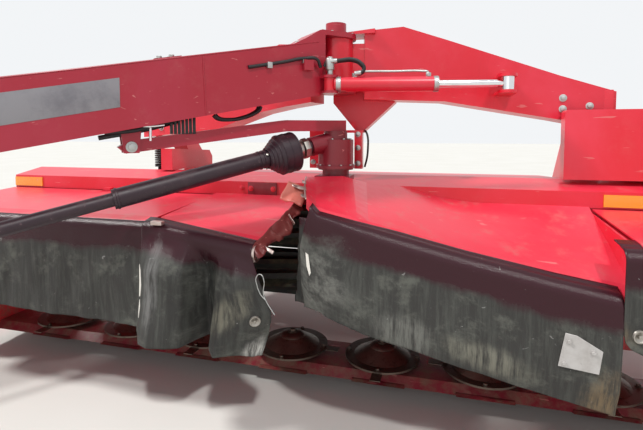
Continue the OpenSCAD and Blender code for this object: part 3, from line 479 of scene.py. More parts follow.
PALE = Finish("frayed_cord", "E4E0D8", 0.7).done()
print("lens, cream, panels and frayed cord mixed")

# %% [markdown]
# ## Dress the CAD nodes
# Each solid of the frame takes the finish of its real part, except that the tongue and the parts deep in
# shade take darker copies of the red, which paint their shade. Its mesh isn't touched: only its material slot
# is filled.


# %% Give every CAD node its finish
def both(*names):
    return [name + side for name in names for side in ("_left", "_right")]


DRESS = {
    RED: ["main_frame", "header_shell", "drive_box", "drive_tower", "swathboard", "swing_barrel",
          *both("inner_shield", "outer_shield", "windrow", "wheel_arm")],
    TONGUE_SHADE_RED: ["tongue_beam", "steering_arm"],
    DEEP_SHADE_RED: ["cutterbar", "header_gearbox", "hitch_clevis", "driveline_carrier", "swivel_gearbox"],
    HOSE_RUBBER: ["tongue_hoses", "swing_hoses"],
    BLACK_PAINT: ["float_links", "jack_tube", *both("lift_barrel")],
    GUARD_PLASTIC: ["driveline_front", "driveline_rear"],
    CLOTH: both("inner_curtain", "outer_curtain"),
    ROLL_RUBBER: ["roll_lower", "roll_upper"],
    DISC_STEEL: ["disc_%d" % i for i in range(1, 9)],
    ZINC: ["jack_leg"],
    CHROME: ["swing_rod", *both("lift_rod")],
    AMBER: ["reflectors"],
    CREAM: both("rim"),
    TYRE_RUBBER: both("tyre"),
}
for material, nodes in DRESS.items():
    for name in nodes:
        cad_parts[name].data.materials.clear()
        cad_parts[name].data.materials.append(material)
undressed = sorted(set(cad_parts) - {n for nodes in DRESS.values() for n in nodes})
print("dressed", sum(len(n) for n in DRESS.values()), "nodes; without a finish:", undressed)

# %% [markdown]
# ## Curtains
# Each front sheet carries a curtain of rubber cloth that is clamped on its top, rolls over its front
# edge and hangs to knee height. A cloth simulation would hang it straight; these curtains are stiff,
# creased and curled, so each one is a grid whose points are laid over the edge and then pushed into
# the folds that the photograph shows. The grid keeps its flat position as a UV map, in metres, so
# that the dust streaks run down the cloth. A Solidify modifier gives it its thickness.


# %% Read sizes along a curtain
def along(table, x):
    """Value at x of a table of (x, value) pairs."""
    for (x0, a), (x1, b) in zip(table, table[1:]):
        if x <= x1:
            break
    return a + (b - a) * max(0.0, min(1.0, (x - x0) / (x1 - x0)))


def size_at(size, x):
    """A size of the curtain at x: a number, a table of pairs, or a function."""
    if callable(size):
        return size(x)
    return along(size, x) if isinstance(size, list) else size


def smooth(x, low, high):
    t = max(0.0, min(1.0, (x - low) / (high - low)))
    return t * t * (3 - 2 * t)


def ripple(x, drop, seed, size):
    """Small creases, the same on every run."""
    wide = noise.noise(Vector((x * 5.5, drop * 2.2, seed)))
    fine = noise.noise(Vector((x * 15, drop * 6, seed + 9)))
    return size * smooth(drop, 0.02, 0.3) * (wide + 0.5 * fine)


print("curtain sizes can be read")

# %% [markdown]
# Going down the cloth, a point first lies on the sheet, then runs round a quarter of the roll, then hangs.
# The longest run down the cloth and the grid's area are worked out too, but nothing uses them.

# %% Hang a curtain over a sheet's front edge
SHEET_FRONT = -0.563
STRIP = 0.105
ROLL_AHEAD = 0.016
SUNK = 0.004
CLOTH_THICK = 0.005
ROWS = 64


def make_cloth(bm, name, node, body, flat):
    uv = bm.loops.layers.uv.new("flat")
    for face in bm.faces:
        for loop in face.loops:
            loop[uv].uv = flat[loop.vert.index]
    piece = make_piece(bm, name, CLOTH, body, crease=80, merge=1e-7)
    wall = piece.modifiers.new("thickness", "SOLIDIFY")
    wall.thickness = CLOTH_THICK
    wall.offset = 0
    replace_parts(piece, node)
    return piece


def hang_curtain(name, node, body, ends, columns, edge_z, slope, foot, roll, fold, drift, lap=STRIP):
    """edge_z is the height of the sheet's top at its front edge and slope its rise towards the
    rear; foot is the hem's height, roll the radius of the roll, fold(x, drop) how far the cloth
    stands forward, drift(x, drop) how far it has moved sideways, and lap its strip on top."""
    bm = bmesh.new()
    bmesh.ops.create_grid(bm, x_segments=columns, y_segments=ROWS, size=0.5)
    flat, cut_long = {}, 0.0
    for v in bm.verts:
        u, w = v.co.x + 0.5, 0.5 - v.co.y
        x = ends[0] + (ends[1] - ends[0]) * u
        r, rise, on_top = size_at(roll, x), size_at(slope, x), size_at(lap, x)
        centre_y = SHEET_FRONT + r - ROLL_AHEAD
        top_z = size_at(edge_z, x) + rise * (centre_y - SHEET_FRONT) - SUNK
        strip = SHEET_FRONT + on_top - centre_y
        arc = r * math.pi / 2
        hang = max(0.02, top_z - r - size_at(foot, x))
        run = w * (strip + arc + hang)
        flat[v.index] = (x, run + STRIP - on_top)
        cut_long = max(cut_long, run)
        side = 0.0
        if run < strip:
            back = strip - run
            y, z = centre_y + back, top_z + rise * back + SUNK * smooth(back, 0.0, 0.03)
        elif run < strip + arc:
            turn = (run - strip) / r
            y, z = centre_y - r * math.sin(turn), top_z - r + r * math.cos(turn)
        else:
            drop = run - strip - arc
            y, z = centre_y - r - fold(x, drop), top_z - r - drop
            side = drift(x, drop)
        v.co = spot(x + side, y, z)
    cut_area = sum(face.calc_area() for face in bm.faces)
    piece = make_cloth(bm, name, node, body, flat)


# %% [markdown]
# The left inner curtain is the most battered: it stands forward in two tall folds, its free end is
# curled, and its lower corner is bent up. The fold table says how far it stands forward along its
# width, and the second fold leans to the left on its way down.

# %% Left inner curtain
LEFT_FOLDS = [(-0.79, 0.0), (-0.745, 0.03), (-0.7, 0.07), (-0.65, 0.088), (-0.58, 0.082), (-0.53, 0.062),
              (-0.5, -0.02), (-0.475, -0.064), (-0.43, -0.066), (-0.4, -0.03), (-0.37, 0.035),
              (-0.31, 0.07), (-0.25, 0.03), (-0.17, -0.03)]
LEFT_OUT = [(0.0, 0.0), (0.12, 0.045), (0.25, 0.085), (0.32, 0.07), (0.42, 0.045), (0.52, 0.03)]


def left_fold(x, drop):
    lean = x + 0.22 * smooth(x, -0.5, -0.3) * max(0.0, drop - 0.08)
    deep = smooth(drop, 0.0, 0.17) * (1 + 0.35 * smooth(drop, 0.2, 0.5))
    curl = 0.05 * smooth(x, -0.33, -0.225) * smooth(drop, 0.33, 0.5)
    return along(LEFT_FOLDS, lean) * deep + curl + ripple(x, drop, 3.0, 0.009)


def left_drift(x, drop):
    pulled_in = 0.02 * smooth(drop, 0.1, 0.5) * smooth(x, -0.6, -0.72)
    return along(LEFT_OUT, drop) * smooth(x, -0.42, -0.227) - pulled_in


hang_curtain("left_inner_cloth", "inner_curtain_left", "chassis", (-0.76, -0.227), 90,
             edge_z=[(-0.72, 0.927), (-0.227, 0.85)], slope=0.12,
             foot=[(-0.76, 0.432), (-0.7, 0.408), (-0.6, 0.412), (-0.5, 0.404), (-0.4, 0.398), (-0.33, 0.386),
                   (-0.26, 0.372), (-0.227, 0.38)],
             roll=0.04, fold=left_fold, drift=left_drift, lap=0.05)

# %% [markdown]
# The right inner curtain hangs almost flat under a sheet that has been pulled down at its outer
# end. Its roll starts narrow at the torn corner and swells, and its free end bulges towards the gap.

# %% Right inner curtain
RIGHT_EDGE = [(0.012, 1.052), (0.06, 0.998), (0.287, 0.941), (0.632, 0.86), (0.944, 0.795), (1.114, 0.765),
              (1.205, 0.748)]
RIGHT_FOOT = [(0.043, 0.598), (0.1, 0.592), (0.287, 0.524), (0.455, 0.486), (0.632, 0.44), (0.944, 0.362),
              (1.15, 0.315)]
RIGHT_SLOPE = [(0.0, 0.1), (0.1, 0.17), (0.3, 0.19), (0.6, 0.22), (1.2, 0.37)]
RIGHT_BULGE = [(0.0, 0.0), (0.06, 0.02), (0.16, 0.05), (0.3, 0.045), (0.45, 0.03)]


def right_fold(x, drop):
    sag = 0.02 * math.sin(3.2 * x + 0.4) * smooth(drop, 0.05, 0.4)
    lip = 0.035 * smooth(x, 0.16, 0.03) * smooth(drop, 0.02, 0.2)
    hem = 0.03 * smooth(drop, 0.28, 0.42) * (0.4 + 0.6 * smooth(x, 0.2, 0.9))
    return sag - lip - hem + ripple(x, drop, 12.0, 0.01)


def right_drift(x, drop):
    return -along(RIGHT_BULGE, drop) * smooth(x, 0.35, 0.04)


hang_curtain("right_inner_cloth", "inner_curtain_right", "chassis", (0.03, 1.15), 150,
             edge_z=RIGHT_EDGE, slope=RIGHT_SLOPE, foot=RIGHT_FOOT, fold=right_fold, drift=right_drift,
             roll=lambda x: 0.014 + 0.031 * smooth(x, 0.03, 0.34),
             lap=lambda x: 0.024 + 0.028 * smooth(x, 0.04, 0.4))

# %% [markdown]
# The outer curtains hang under the hinged shields, with much the same roll, and nearly straight.

# %% Outer curtains
OUTER_EDGE, OUTER_SLOPE, OUTER_ROLL = 0.925, 0.08, 0.042
RIGHT_OUTER_FOOT = [(1.15, 0.64), (1.157, 0.605), (1.175, 0.582), (1.22, 0.56), (1.34, 0.49), (1.5, 0.456),
                    (2.3, 0.452)]


def hang_outer(name, node, body, ends, columns, foot, seed):
    def fold(x, drop):
        return ripple(x, drop, seed, 0.016) + 0.008 * math.sin(9 * x) * smooth(drop, 0.1, 0.4)

    hang_curtain(name, node, body, ends, columns, OUTER_EDGE, OUTER_SLOPE, foot, OUTER_ROLL, fold,
                 drift=lambda x, drop: 0.0)


hang_outer("left_outer_cloth", "outer_curtain_left", "shield_left", (-2.205, -0.735), 150,
           lambda x: 0.452 - 0.015 * smooth(x, -1.2, -0.75), 21.0)
hang_outer("right_outer_cloth", "outer_curtain_right", "shield_right", (1.15, 2.205), 130,
           RIGHT_OUTER_FOOT, 33.0)

# %% [markdown]
# At each end of the header a short flap of the same cloth hangs from the shield's end and shuts the
# side. It is a plain grid with a little bulge, because the photograph doesn't show it.

# %% Side flaps of the outer curtains
FLAP_X, FLAP_FRONT, FLAP_LONG = 2.209, -0.065, 0.5
FLAP_TOP, FLAP_FOOT = 0.905, 0.456


def hang_flap(name, node, body, x):
    bm = bmesh.new()
    bmesh.ops.create_grid(bm, x_segments=40, y_segments=36, size=0.5)
    tall = FLAP_TOP - FLAP_FOOT
    flat = {}
    for v in bm.verts:
        u, w = v.co.x + 0.5, 0.5 - v.co.y
        flat[v.index] = (u * FLAP_LONG, 0.1 + w * 0.44)
        bulge = 0.004 * noise.noise(Vector((u * 3, w * 2, x))) * w
        v.co = spot(x + bulge, FLAP_FRONT - FLAP_LONG * u, FLAP_TOP - tall * w)
    piece = make_cloth(bm, name, node, body, flat)


hang_flap("left_side_flap", "outer_curtain_left", "shield_left", -FLAP_X)
hang_flap("right_side_flap", "outer_curtain_right", "shield_right", FLAP_X)
print("side flaps hung, each", FLAP_LONG, "by", round(FLAP_TOP - FLAP_FOOT, 3), "m")

# %% [markdown]
# ## Hoses and wires
# A hose follows a smooth curve through a few points, so a Bezier curve with a round bevel is the
# plainest way to make one. One curve object can hold several hoses of the same thickness.


# %% Bend tubes along points
def bend_tubes(name, routes, radius, finish, body):
    curve = bpy.data.curves.new(name, "CURVE")
    curve.dimensions = "3D"
    curve.bevel_depth = radius
    curve.bevel_resolution = 3
    curve.resolution_u = 8
    curve.use_fill_caps = True
    for points in routes:
        spline = curve.splines.new("BEZIER")
        spline.bezier_points.add(len(points) - 1)
        for knot, point in zip(spline.bezier_points, points):
            knot.co = point
            knot.handle_left_type = knot.handle_right_type = "AUTO"
    return add_piece(name, curve, finish, body)


print("tubes can be bent")

# %% [markdown]
# The swing cylinder's hoses leave a standpipe over its base pin, loop out and come back to the port
# on its base. A steel pipe carries the oil on to the rod end.

# %% Hoses of the swing cylinder
BASE_PIN = Vector((0.19 * math.cos(math.radians(-85)), 0.19 * math.sin(math.radians(-85)), 0))
ROD_PIN = Vector((0.832, -0.02, 0))
CYLINDER_Z = 1.556
SWING_ALONG = (ROD_PIN - BASE_PIN).normalized()
SWING_SIDE = Vector((-SWING_ALONG.y, SWING_ALONG.x, 0))
HOSE_R = 0.009


def on_cylinder(reach, side, up):
    """A point by the swing cylinder: reach from its base pin, up from its axis."""
    return PIVOT + BASE_PIN + SWING_ALONG * reach + SWING_SIDE * side + Vector((0, 0, CYLINDER_Z + up))


loops = []
for side in (-0.013, 0.013):
    loops.append([on_cylinder(reach, side * spread, up) for reach, spread, up in (
        (0.004, 1, 0.108), (0.05, 1, 0.113), (0.105, 1.2, 0.116), (0.146, 1.4, 0.098), (0.162, 1.4, 0.072),
        (0.148, 1.2, 0.054), (0.118, 1, 0.049))])
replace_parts(bend_tubes("swing_loop_hoses", loops, HOSE_R, HOSE_RUBBER, "swing_barrel_body"),
            "swing_hoses")
pipe = [on_cylinder(reach, 0, up) for reach, up in (
    (0.115, 0.047), (0.135, 0.058), (0.16, 0.06), (0.3, 0.06), (0.44, 0.06), (0.462, 0.056), (0.466, 0.044))]
bend_tubes("swing_pipe", [pipe], 0.006, ZINC, "swing_barrel_body")
print("hoses bent; standpipe at", [round(c, 3) for c in on_cylinder(0, 0, 0.1)])

# %% [markdown]
# Each hose ends in a crimped sleeve. The standpipe, the ports and the two collars of the barrel are
# plain rods, and all of this bright metal is one piece.

# %% Fittings of the swing cylinder
bm = bmesh.new()
add_rod(bm, on_cylinder(0, 0, 0.068), on_cylinder(0, 0, 0.124), 0.021, sides=32, bevel=0.003)
add_rod(bm, on_cylinder(0, 0, 0.123), on_cylinder(0, 0, 0.131), 0.013, sides=6, bevel=0.001)
for reach in (0.118, 0.466):
    add_rod(bm, on_cylinder(reach, 0, 0.034), on_cylinder(reach, 0, 0.052), 0.014, sides=6, bevel=0.001)
for near, far in ((0.028, 0.052), (0.488, 0.512)):
    add_rod(bm, on_cylinder(near, 0, 0), on_cylinder(far, 0, 0), 0.038, sides=48, bevel=0.003)
for loop in loops:
    for end, inner in ((loop[0], loop[1]), (loop[-1], loop[-2])):
        add_rod(bm, end, end + (inner - end).normalized() * 0.03, 0.0115, sides=20, bevel=0.001)
make_piece(bm, "swing_fittings", ZINC, "swing_barrel_body")
print("swing cylinder fitted")

# %% [markdown]
# Two more hoses loop below the tongue, and two thinner ones run along its left face from an elbow,
# held by clips. The tongue falls towards its hitch, so their places are given down from its top edge.

# %% Hoses of the tongue
TONGUE_TOP, TONGUE_FALL, TONGUE_DEPTH = 1.795, 0.198, 0.258
TONGUE_HALF = 0.1


def tongue_top(reach):
    return TONGUE_TOP - TONGUE_FALL * reach


def on_side(reach, down, out=0.0):
    """A point on the tongue's left face, down from its top edge."""
    return on_tongue(TONGUE_HALF + out, reach, tongue_top(reach) - down)


UNDER = ((0.645, 0.006), (0.63, 0.022), (0.58, 0.038), (0.51, 0.041), (0.455, 0.03), (0.432, 0.018),
         (0.425, 0.004))
FEED = (((0.14, 0.125, 0.02), (0.125, 0.1, 0.032), (0.122, 0.115, 0.042), (0.122, 0.15, 0.045)),
        ((0.16, 0.125, 0.02), (0.185, 0.085, 0.028), (0.24, 0.072, 0.014), (0.34, 0.075, 0.006),
         (0.52, 0.078, 0.006)))
under = [[on_tongue(side, reach, tongue_top(reach) - TONGUE_DEPTH - down) for reach, down in UNDER]
         for side in (-0.014, 0.014)]
looped = bend_tubes("tongue_loop_hoses", under, HOSE_R, HOSE_RUBBER, "tongue")
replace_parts(looped, "tongue_hoses")
feed_routes = [[on_side(*point) for point in route] for route in FEED]
bend_tubes("tongue_feed_hoses", feed_routes, 0.008, HOSE_RUBBER, "tongue")
bm = bmesh.new()
add_rod(bm, on_side(0.122, 0.17, 0.0455), on_side(0.122, 0.146, 0.0455), 0.0145, sides=32, bevel=0.002)
for reach in (0.24, 0.42):
    clip = on_side(reach, 0.084, 0.006)
    add_block(bm, clip - Vector((0.012, 0.012, 0.012)), clip + Vector((0.012, 0.012, 0.016)), 0.002,
              turn=-SWING)
make_piece(bm, "tongue_fittings", ZINC, "tongue")
print("tongue hoses bent and clipped")

# %% [markdown]
# ## Tongue
# The tongue is a welded box. Seams cross it where its plates meet, and its visible side carries a
# long, plain silver panel. The thin plates and beads are modelled straight in the tongue's own
# directions and then leaned with one shear matrix, so that they follow its slope.

# %% Panel and seams of the tongue
LEAN = Matrix(((-math.sin(SWING), math.cos(SWING), 0, PIVOT.x),
               (-math.cos(SWING), -math.sin(SWING), 0, PIVOT.y),
               (-TONGUE_FALL, 0, 1, TONGUE_TOP), (0, 0, 0, 1)))
PANEL_FROM, PANEL_TO = 1.045, 2.26
SEAMS = (0.71, 1.5, 3.2)
TAPER_FROM, TAPER = 1.5, 0.078 / 4
BEAD = 0.0035
bm = bmesh.new()
plate = add_block(bm, (PANEL_FROM, TONGUE_HALF, -0.166), (PANEL_TO, TONGUE_HALF + 0.0016, -0.052), 0.0006)
bmesh.ops.transform(bm, matrix=LEAN, verts=plate)
make_piece(bm, "silver_panel", PANEL, "tongue")

bm = bmesh.new()
for side in (-0.1005, 0.1005):
    for reach in SEAMS:
        foot = -TONGUE_DEPTH + 0.004 + TAPER * max(0.0, reach - TAPER_FROM)
        add_rod(bm, (reach, side, foot), (reach + 0.01, side, -0.004), BEAD, sides=8)
for reach in SEAMS:
    add_rod(bm, (reach + 0.01, -0.098, 0.0), (reach + 0.01, 0.098, 0.0), BEAD, sides=8)
for side in (-0.0995, 0.0995):
    add_rod(bm, (0.16, side, 0.0), (4.9, side, 0.0), BEAD, sides=8)
bmesh.ops.transform(bm, matrix=LEAN, verts=bm.verts)
make_piece(bm, "tongue_seams", TONGUE_SHADE_RED, "tongue")
print("tongue panel", round(PANEL_TO - PANEL_FROM, 3), "m long;", len(SEAMS), "seams")

# %% [markdown]
# Two pairs of bolts stand on the tongue's top, four more bolts hold the pin's cap, and the cap ends in
# a large hexagon.

# %% Bolts of the tongue
bm = bmesh.new()
for reach in (0.19, 0.24, 0.835, 0.885):
    add_bolt(bm, LEAN @ Vector((reach, 0.035, 0.011)), (0, 0, 1), 0.01)
for reach in (0.06, -0.06):
    for side in (0.06, -0.06):
        add_bolt(bm, on_tongue(side, reach, 1.826), (0, 0, 1), 0.008)
add_rod(bm, spot(0, 0, 1.872), spot(0, 0, 1.884), 0.04, sides=6, bevel=0.002)
make_piece(bm, "tongue_bolts", ZINC, "tongue")
print("tongue bolted")

# %% [markdown]
# ## Driveline guard
# The black plastic guard ends in a bell over the universal joint. Raised rings run round the bell's
# cone and the tube carries slim bands. They are spun from small profiles about the driveline's axis.

# %% Rings of the guard
DRIVE_TOP, DRIVE_FALL = 1.287, 0.2218
BELL_RINGS = ((0.252, 0.0955), (0.29, 0.0955), (0.326, 0.0955), (0.344, 0.083), (0.36, 0.07), (0.374, 0.059),
              (0.388, 0.049))
TUBE_R, TUBE_BANDS = 0.042, (0.41, 0.43, 1.055)


def on_drive(reach):
    return on_tongue(0, reach, DRIVE_TOP - DRIVE_FALL * reach)


DRIVE_ALONG = (on_drive(1.0) - on_drive(0.0)).normalized()


def add_ring(bm, reach, radius, width, height):
    inner, outer = radius - 0.002, radius + height
    add_round(bm, [(inner, -width / 2), (outer, -width / 3), (outer, width / 3), (inner, width / 2)],
              on_drive(reach), DRIVE_ALONG, steps=64)


bm = bmesh.new()
for reach, radius in BELL_RINGS:
    add_ring(bm, reach, radius, 0.007, 0.004)
for reach in TUBE_BANDS:
    add_ring(bm, reach, TUBE_R, 0.012, 0.003)
make_piece(bm, "guard_rings", GUARD_PLASTIC, "swivel")
bm = bmesh.new()
for across, up in ring(3, 1.0, 0.5):
    out = aim(DRIVE_ALONG) @ Vector((across, up, 0))
    add_bolt(bm, on_drive(0.4) + out * 0.044, out, 0.006, washer=False)
add_rod(bm, on_drive(0.17), on_drive(0.2), 0.052, sides=8, bevel=0.004)
add_rod(bm, on_drive(0.205), on_drive(0.24), 0.044, sides=24, bevel=0.004)
make_piece(bm, "joint_collar", STEEL, "swivel")
print("guard has", len(BELL_RINGS) + len(TUBE_BANDS), "rings")

# %% [markdown]
# ## Cage and swivel
# The swivel gearbox turns between the funnel of the arch and the header's own gearbox. Its flanges
# have rings of bolts, and the cage behind it is bolted to the arch. A hose hangs beside the post.

# %% Bolts of the swivel, the cage and the arch
ARM_SLOPE = math.tan(math.radians(11.4))


def on_arm(x, z, out):
    """A point on the front face of the arch."""
    return spot(x, -0.0016 + ARM_SLOPE * abs(x) - out, z)


bm = bmesh.new()
for x, y in ring(10, 0.0955, 0.2):
    add_bolt(bm, spot(x, y, 1.156), (0, 0, 1), 0.0055, washer=False)
for x, y in ring(8, 0.078):
    add_bolt(bm, spot(x, y, 1.2903), (0, 0, 1), 0.0055)
make_piece(bm, "swivel_bolts", ZINC, "swivel")
bm = bmesh.new()
for x, z in ((-0.153, 1.247), (-0.105, 1.285), (-0.153, 1.165), (0.1, 1.318), (0.1, 1.245), (0.1, 1.16)):
    add_bolt(bm, spot(x, 0.0955, z), (0, -1, 0), 0.0085)
for x, z in ((1.124, 1.5), (1.124, 1.445), (1.252, 1.459), (-1.124, 1.405), (-1.22, 1.4), (-1.22, 1.36)):
    add_rod(bm, on_arm(x, z, -0.001), on_arm(x, z, 0.004), 0.019, sides=32, bevel=0.0015)
    add_rod(bm, on_arm(x, z, 0.003), on_arm(x, z, 0.014), 0.012, sides=6, bevel=0.0015)
for side in (-1, 1):
    add_bolt(bm, spot(side * 1.366, 0.72, 1.262), (side, 0, 0), 0.012)
    for y, z in ((0.36, 1.4), (0.46, 1.385)):
        add_bolt(bm, spot(side * 1.362, y, z), (side, 0, 0), 0.01)
make_piece(bm, "frame_bolts", ZINC, "chassis")
CAGE_HOSE = ((0.124, 0.16, 1.338), (0.138, 0.135, 1.33), (0.15, 0.118, 1.3), (0.152, 0.112, 1.25),
             (0.146, 0.118, 1.19), (0.13, 0.14, 1.14))
bend_tubes("cage_hose", [[spot(*p) for p in CAGE_HOSE]], 0.0055, HOSE_RUBBER, "chassis")
print("swivel, cage and arch bolted")

# %% [markdown]
# The steering arm runs forward from the swivel to two cheeks on the tongue. At its end sit a
# ribbed black block, a clip of bright round bar and two hose ends.

# %% End of the steering arm
RIBS, RIB_PITCH = 7, 0.016
CLIP = (((0.05, 0.93, 1.4), (0.062, 0.93, 1.335), (0.062, 0.93, 1.29)),
        ((0.062, 0.985, 1.352), (0.064, 0.93, 1.35), (0.062, 0.875, 1.356)))
HOSE_ENDS = (((0.02, 0.8, 1.385), (0.05, 0.9, 1.357), (0.06, 1.0, 1.332), (0.062, 1.1, 1.325)),
             ((-0.02, 0.8, 1.375), (0.02, 0.95, 1.335), (0.03, 1.12, 1.302)))
bm = bmesh.new()
for k in range(RIBS):
    rib = on_tongue(0.031, 0.84 - RIB_PITCH * k, 1.318)
    add_block(bm, rib - Vector((0.006, 0.006, 0.0)), rib + Vector((0.006, 0.006, 0.075)), 0.002, turn=-SWING)
make_piece(bm, "ribbed_block", BLACK_PAINT, "tongue")
bend_tubes("steer_clip", [[on_tongue(*p) for p in bar] for bar in CLIP], 0.006, CHROME, "tongue")
bend_tubes("steer_hose_ends", [[on_tongue(*p) for p in hose] for hose in HOSE_ENDS], 0.01, HOSE_RUBBER,
           "tongue")
bm = bmesh.new()
for side in (-0.0405, 0.0405):
    add_bolt(bm, on_tongue(side, 1.0, 1.265), on_tongue(side, 1.0, 0) - on_tongue(0, 1.0, 0), 0.013)
make_piece(bm, "steer_bolts", ZINC, "tongue")
print("steering arm fitted")

# %% [markdown]
# ## Conditioning rolls
# The feature that takes the most skill: two steel tubes with rubber lugs that run in chevrons and mesh
# with each other. One lug is a small quad that is spun about the roll's axis while it moves along it,
# which sweeps a helix; its twin goes the other way. Ten of them share the circle, and the upper roll
# stands half a lug further round, so that its lugs meet the lower roll's gaps.

# %% Sweep the lugs of both rolls
LUGS, LUG_LONG, LUG_TWIST, LUG_STEPS = 10, 1.122, 0.62, 14
LUG_SECTION = [(0.098, -0.026), (0.148, -0.016), (0.148, 0.016), (0.098, 0.026)]
ROLLS = (("roll_lower", "lower_roll", LOWER_ROLL_Y, 0.4, 0.0),
         ("roll_upper", "upper_roll", 0.6, 0.69, math.pi / LUGS))


def add_lug(bm, centre, angle, hand):
    turn = Matrix.Rotation(angle, 3, "X")
    face = bm.faces.new([bm.verts.new(centre + turn @ Vector((0, side, out))) for out, side in LUG_SECTION])
    bmesh.ops.spin(bm, geom=[face], cent=centre, axis=(1, 0, 0), dvec=(hand * LUG_LONG / LUG_STEPS, 0, 0),
                   angle=LUG_TWIST, steps=LUG_STEPS)


for name, body, y, z, start in ROLLS:
    centre = spot(0, y, z)
    bm = bmesh.new()
    for half, radius, sides, bevel in ((1.126, 0.1, 64, 0.004), (1.156, 0.028, 32, 0.002)):
        add_rod(bm, centre - Vector((half, 0, 0)), centre + Vector((half, 0, 0)), radius, sides, bevel)
    for i in range(LUGS):
        for hand in (-1, 1):
            add_lug(bm, centre, start + i * 2 * math.pi / LUGS, hand)
    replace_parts(make_piece(bm, name + "_lugs", ROLL_RUBBER, body, crease=30), name)
print("two rolls, each with", LUGS, "chevron lugs")

# %% [markdown]
# ## Wheels
# An implement tyre has ribs that run round it, not lugs, since nothing drives it. Its section is drawn
# once from bead to bead, grooves and rim guard included, and spun. The hub gets its studs and cap.

# %% Spin the tyres and bolt the hubs
WHEEL_X, WHEEL_Y, WHEEL_R = 1.62, 1.7, 0.395
HALF_TYRE = [(0.2, 0.112), (0.225, 0.132), (0.262, 0.146), (0.3, 0.149), (0.338, 0.145), (0.366, 0.134),
             (0.382, 0.12), (0.393, 0.104), (0.394, 0.082), (0.384, 0.078), (0.384, 0.068), (0.395, 0.064),
             (0.395, 0.024), (0.384, 0.02), (0.384, 0.008)]
TYRE = HALF_TYRE + [(r, -h) for r, h in reversed(HALF_TYRE)]
HUB_CAP = [(0.001, 0.098), (0.03, 0.096), (0.042, 0.088), (0.046, 0.06), (0.052, 0.056)]
for side, label in ((1, "left"), (-1, "right")):
    hub, out = spot(side * WHEEL_X, WHEEL_Y, WHEEL_R), Vector((side, 0, 0))
    bm = bmesh.new()
    add_round(bm, TYRE + TYRE[:1], hub, out, steps=48)
    ribs = make_piece(bm, "tyre_ribs_" + label, TYRE_RUBBER, "wheel_" + label, crease=28)
    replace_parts(ribs, "tyre_" + label)
    bm = bmesh.new()
    add_round(bm, HUB_CAP, hub, out, steps=32)
    for y, z in ring(6, 0.082):
        add_bolt(bm, hub + Vector((side * 0.05, y, z)), out, 0.011)
    make_piece(bm, "hub_cap_" + label, ZINC, "wheel_" + label)
print("two wheels with", len(TYRE), "points in a tyre's section")

# %% [markdown]
# ## Float springs and links
# The header hangs on two coil springs and trails on two lower links. A coil is one round wire section
# swept in a helix by the same spin as a lug. A bolt holds each of its ends.

# %% Wind the float springs
SPRING_X, SPRING_Y, SPRING_FOOT, SPRING_TOP = 1.3, 0.33, 1.04, 1.29
WIRE_R, COIL_R, COILS, COIL_STEPS = 0.0055, 0.026, 12, 14
COIL_FROM, COIL_TALL = 0.068, 0.178
bm = bmesh.new()
for side in (-1, 1):
    foot, top = (spot(side * SPRING_X, SPRING_Y, z) for z in (SPRING_FOOT, SPRING_TOP))
    place = Matrix.Translation(foot + Vector((COIL_R, 0, COIL_FROM))) @ Matrix.Rotation(math.pi / 2, 4, "X")
    wire = bmesh.ops.create_circle(bm, cap_ends=True, segments=8, radius=WIRE_R, matrix=place)
    bmesh.ops.spin(bm, geom=wire["verts"][0].link_faces[:], cent=foot, axis=(0, 0, 1),
                   dvec=(0, 0, COIL_TALL / (COILS * COIL_STEPS)), angle=2 * math.pi * COILS,
                   steps=COILS * COIL_STEPS)
    add_rod(bm, foot + Vector((0, 0, -0.001)), foot + Vector((0, 0, 0.07)), 0.011, sides=16)
    add_rod(bm, top + Vector((0, 0, -0.045)), top, 0.011, sides=16)
    for z in (0.062, 0.205):
        add_rod(bm, foot + Vector((0, 0, z)), foot + Vector((0, 0, z + 0.008)), 0.031, sides=32, bevel=0.002)
    lug = side * SPRING_X
    add_block(bm, spot(lug - 0.015, 0.24, 1.0), spot(lug + 0.015, 0.35, SPRING_FOOT), 0.003)
    front, rear = spot(lug, 0.375, 0.35), spot(lug, 0.975, 0.59)
    add_rod(bm, front, rear, 0.015, sides=20)
    for eye in (front, rear):
        add_rod(bm, eye - Vector((0.0155, 0, 0)), eye + Vector((0.0155, 0, 0)), 0.024, sides=28, bevel=0.002)
springs = make_piece(bm, "springs_and_links", BLACK_PAINT, "chassis", crease=40)
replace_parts(springs, "float_links")
print("two springs of", COILS, "turns")

# %% [markdown]
# ## Discs
# Each disc has a domed cap with a nut on its spindle, and four bolts round it, two of which hold
# its knives.

# %% Bolt the discs
DISC_PITCH, DISC_Y, DISC_BOLTS_R = 0.5, 0.02, 0.178
DISC_CAP = [(0.07, 0.2032), (0.066, 0.209), (0.05, 0.216), (0.026, 0.219), (0.001, 0.22)]
for i in range(1, 9):
    foot = spot((i - 4.5) * DISC_PITCH, DISC_Y, 0.0)
    bm = bmesh.new()
    add_round(bm, DISC_CAP, foot, (0, 0, 1), steps=40)
    add_bolt(bm, foot + Vector((0, 0, 0.2195)), (0, 0, 1), 0.014)
    for x, y in ring(4, DISC_BOLTS_R):
        add_bolt(bm, foot + Vector((x, y, 0.1592)), (0, 0, 1), 0.009)
    make_piece(bm, "disc_%d_cap" % i, DISC_STEEL, "disc_%d_body" % i)
print("eight discs bolted")

# %% [markdown]
# ## Jack and side sheets
# The jack stands at the tongue's right side. It gets a cap and a crank of bent bar, and the sheets at
# the conditioner's sides get the heads of the bolts that hold its bearings.

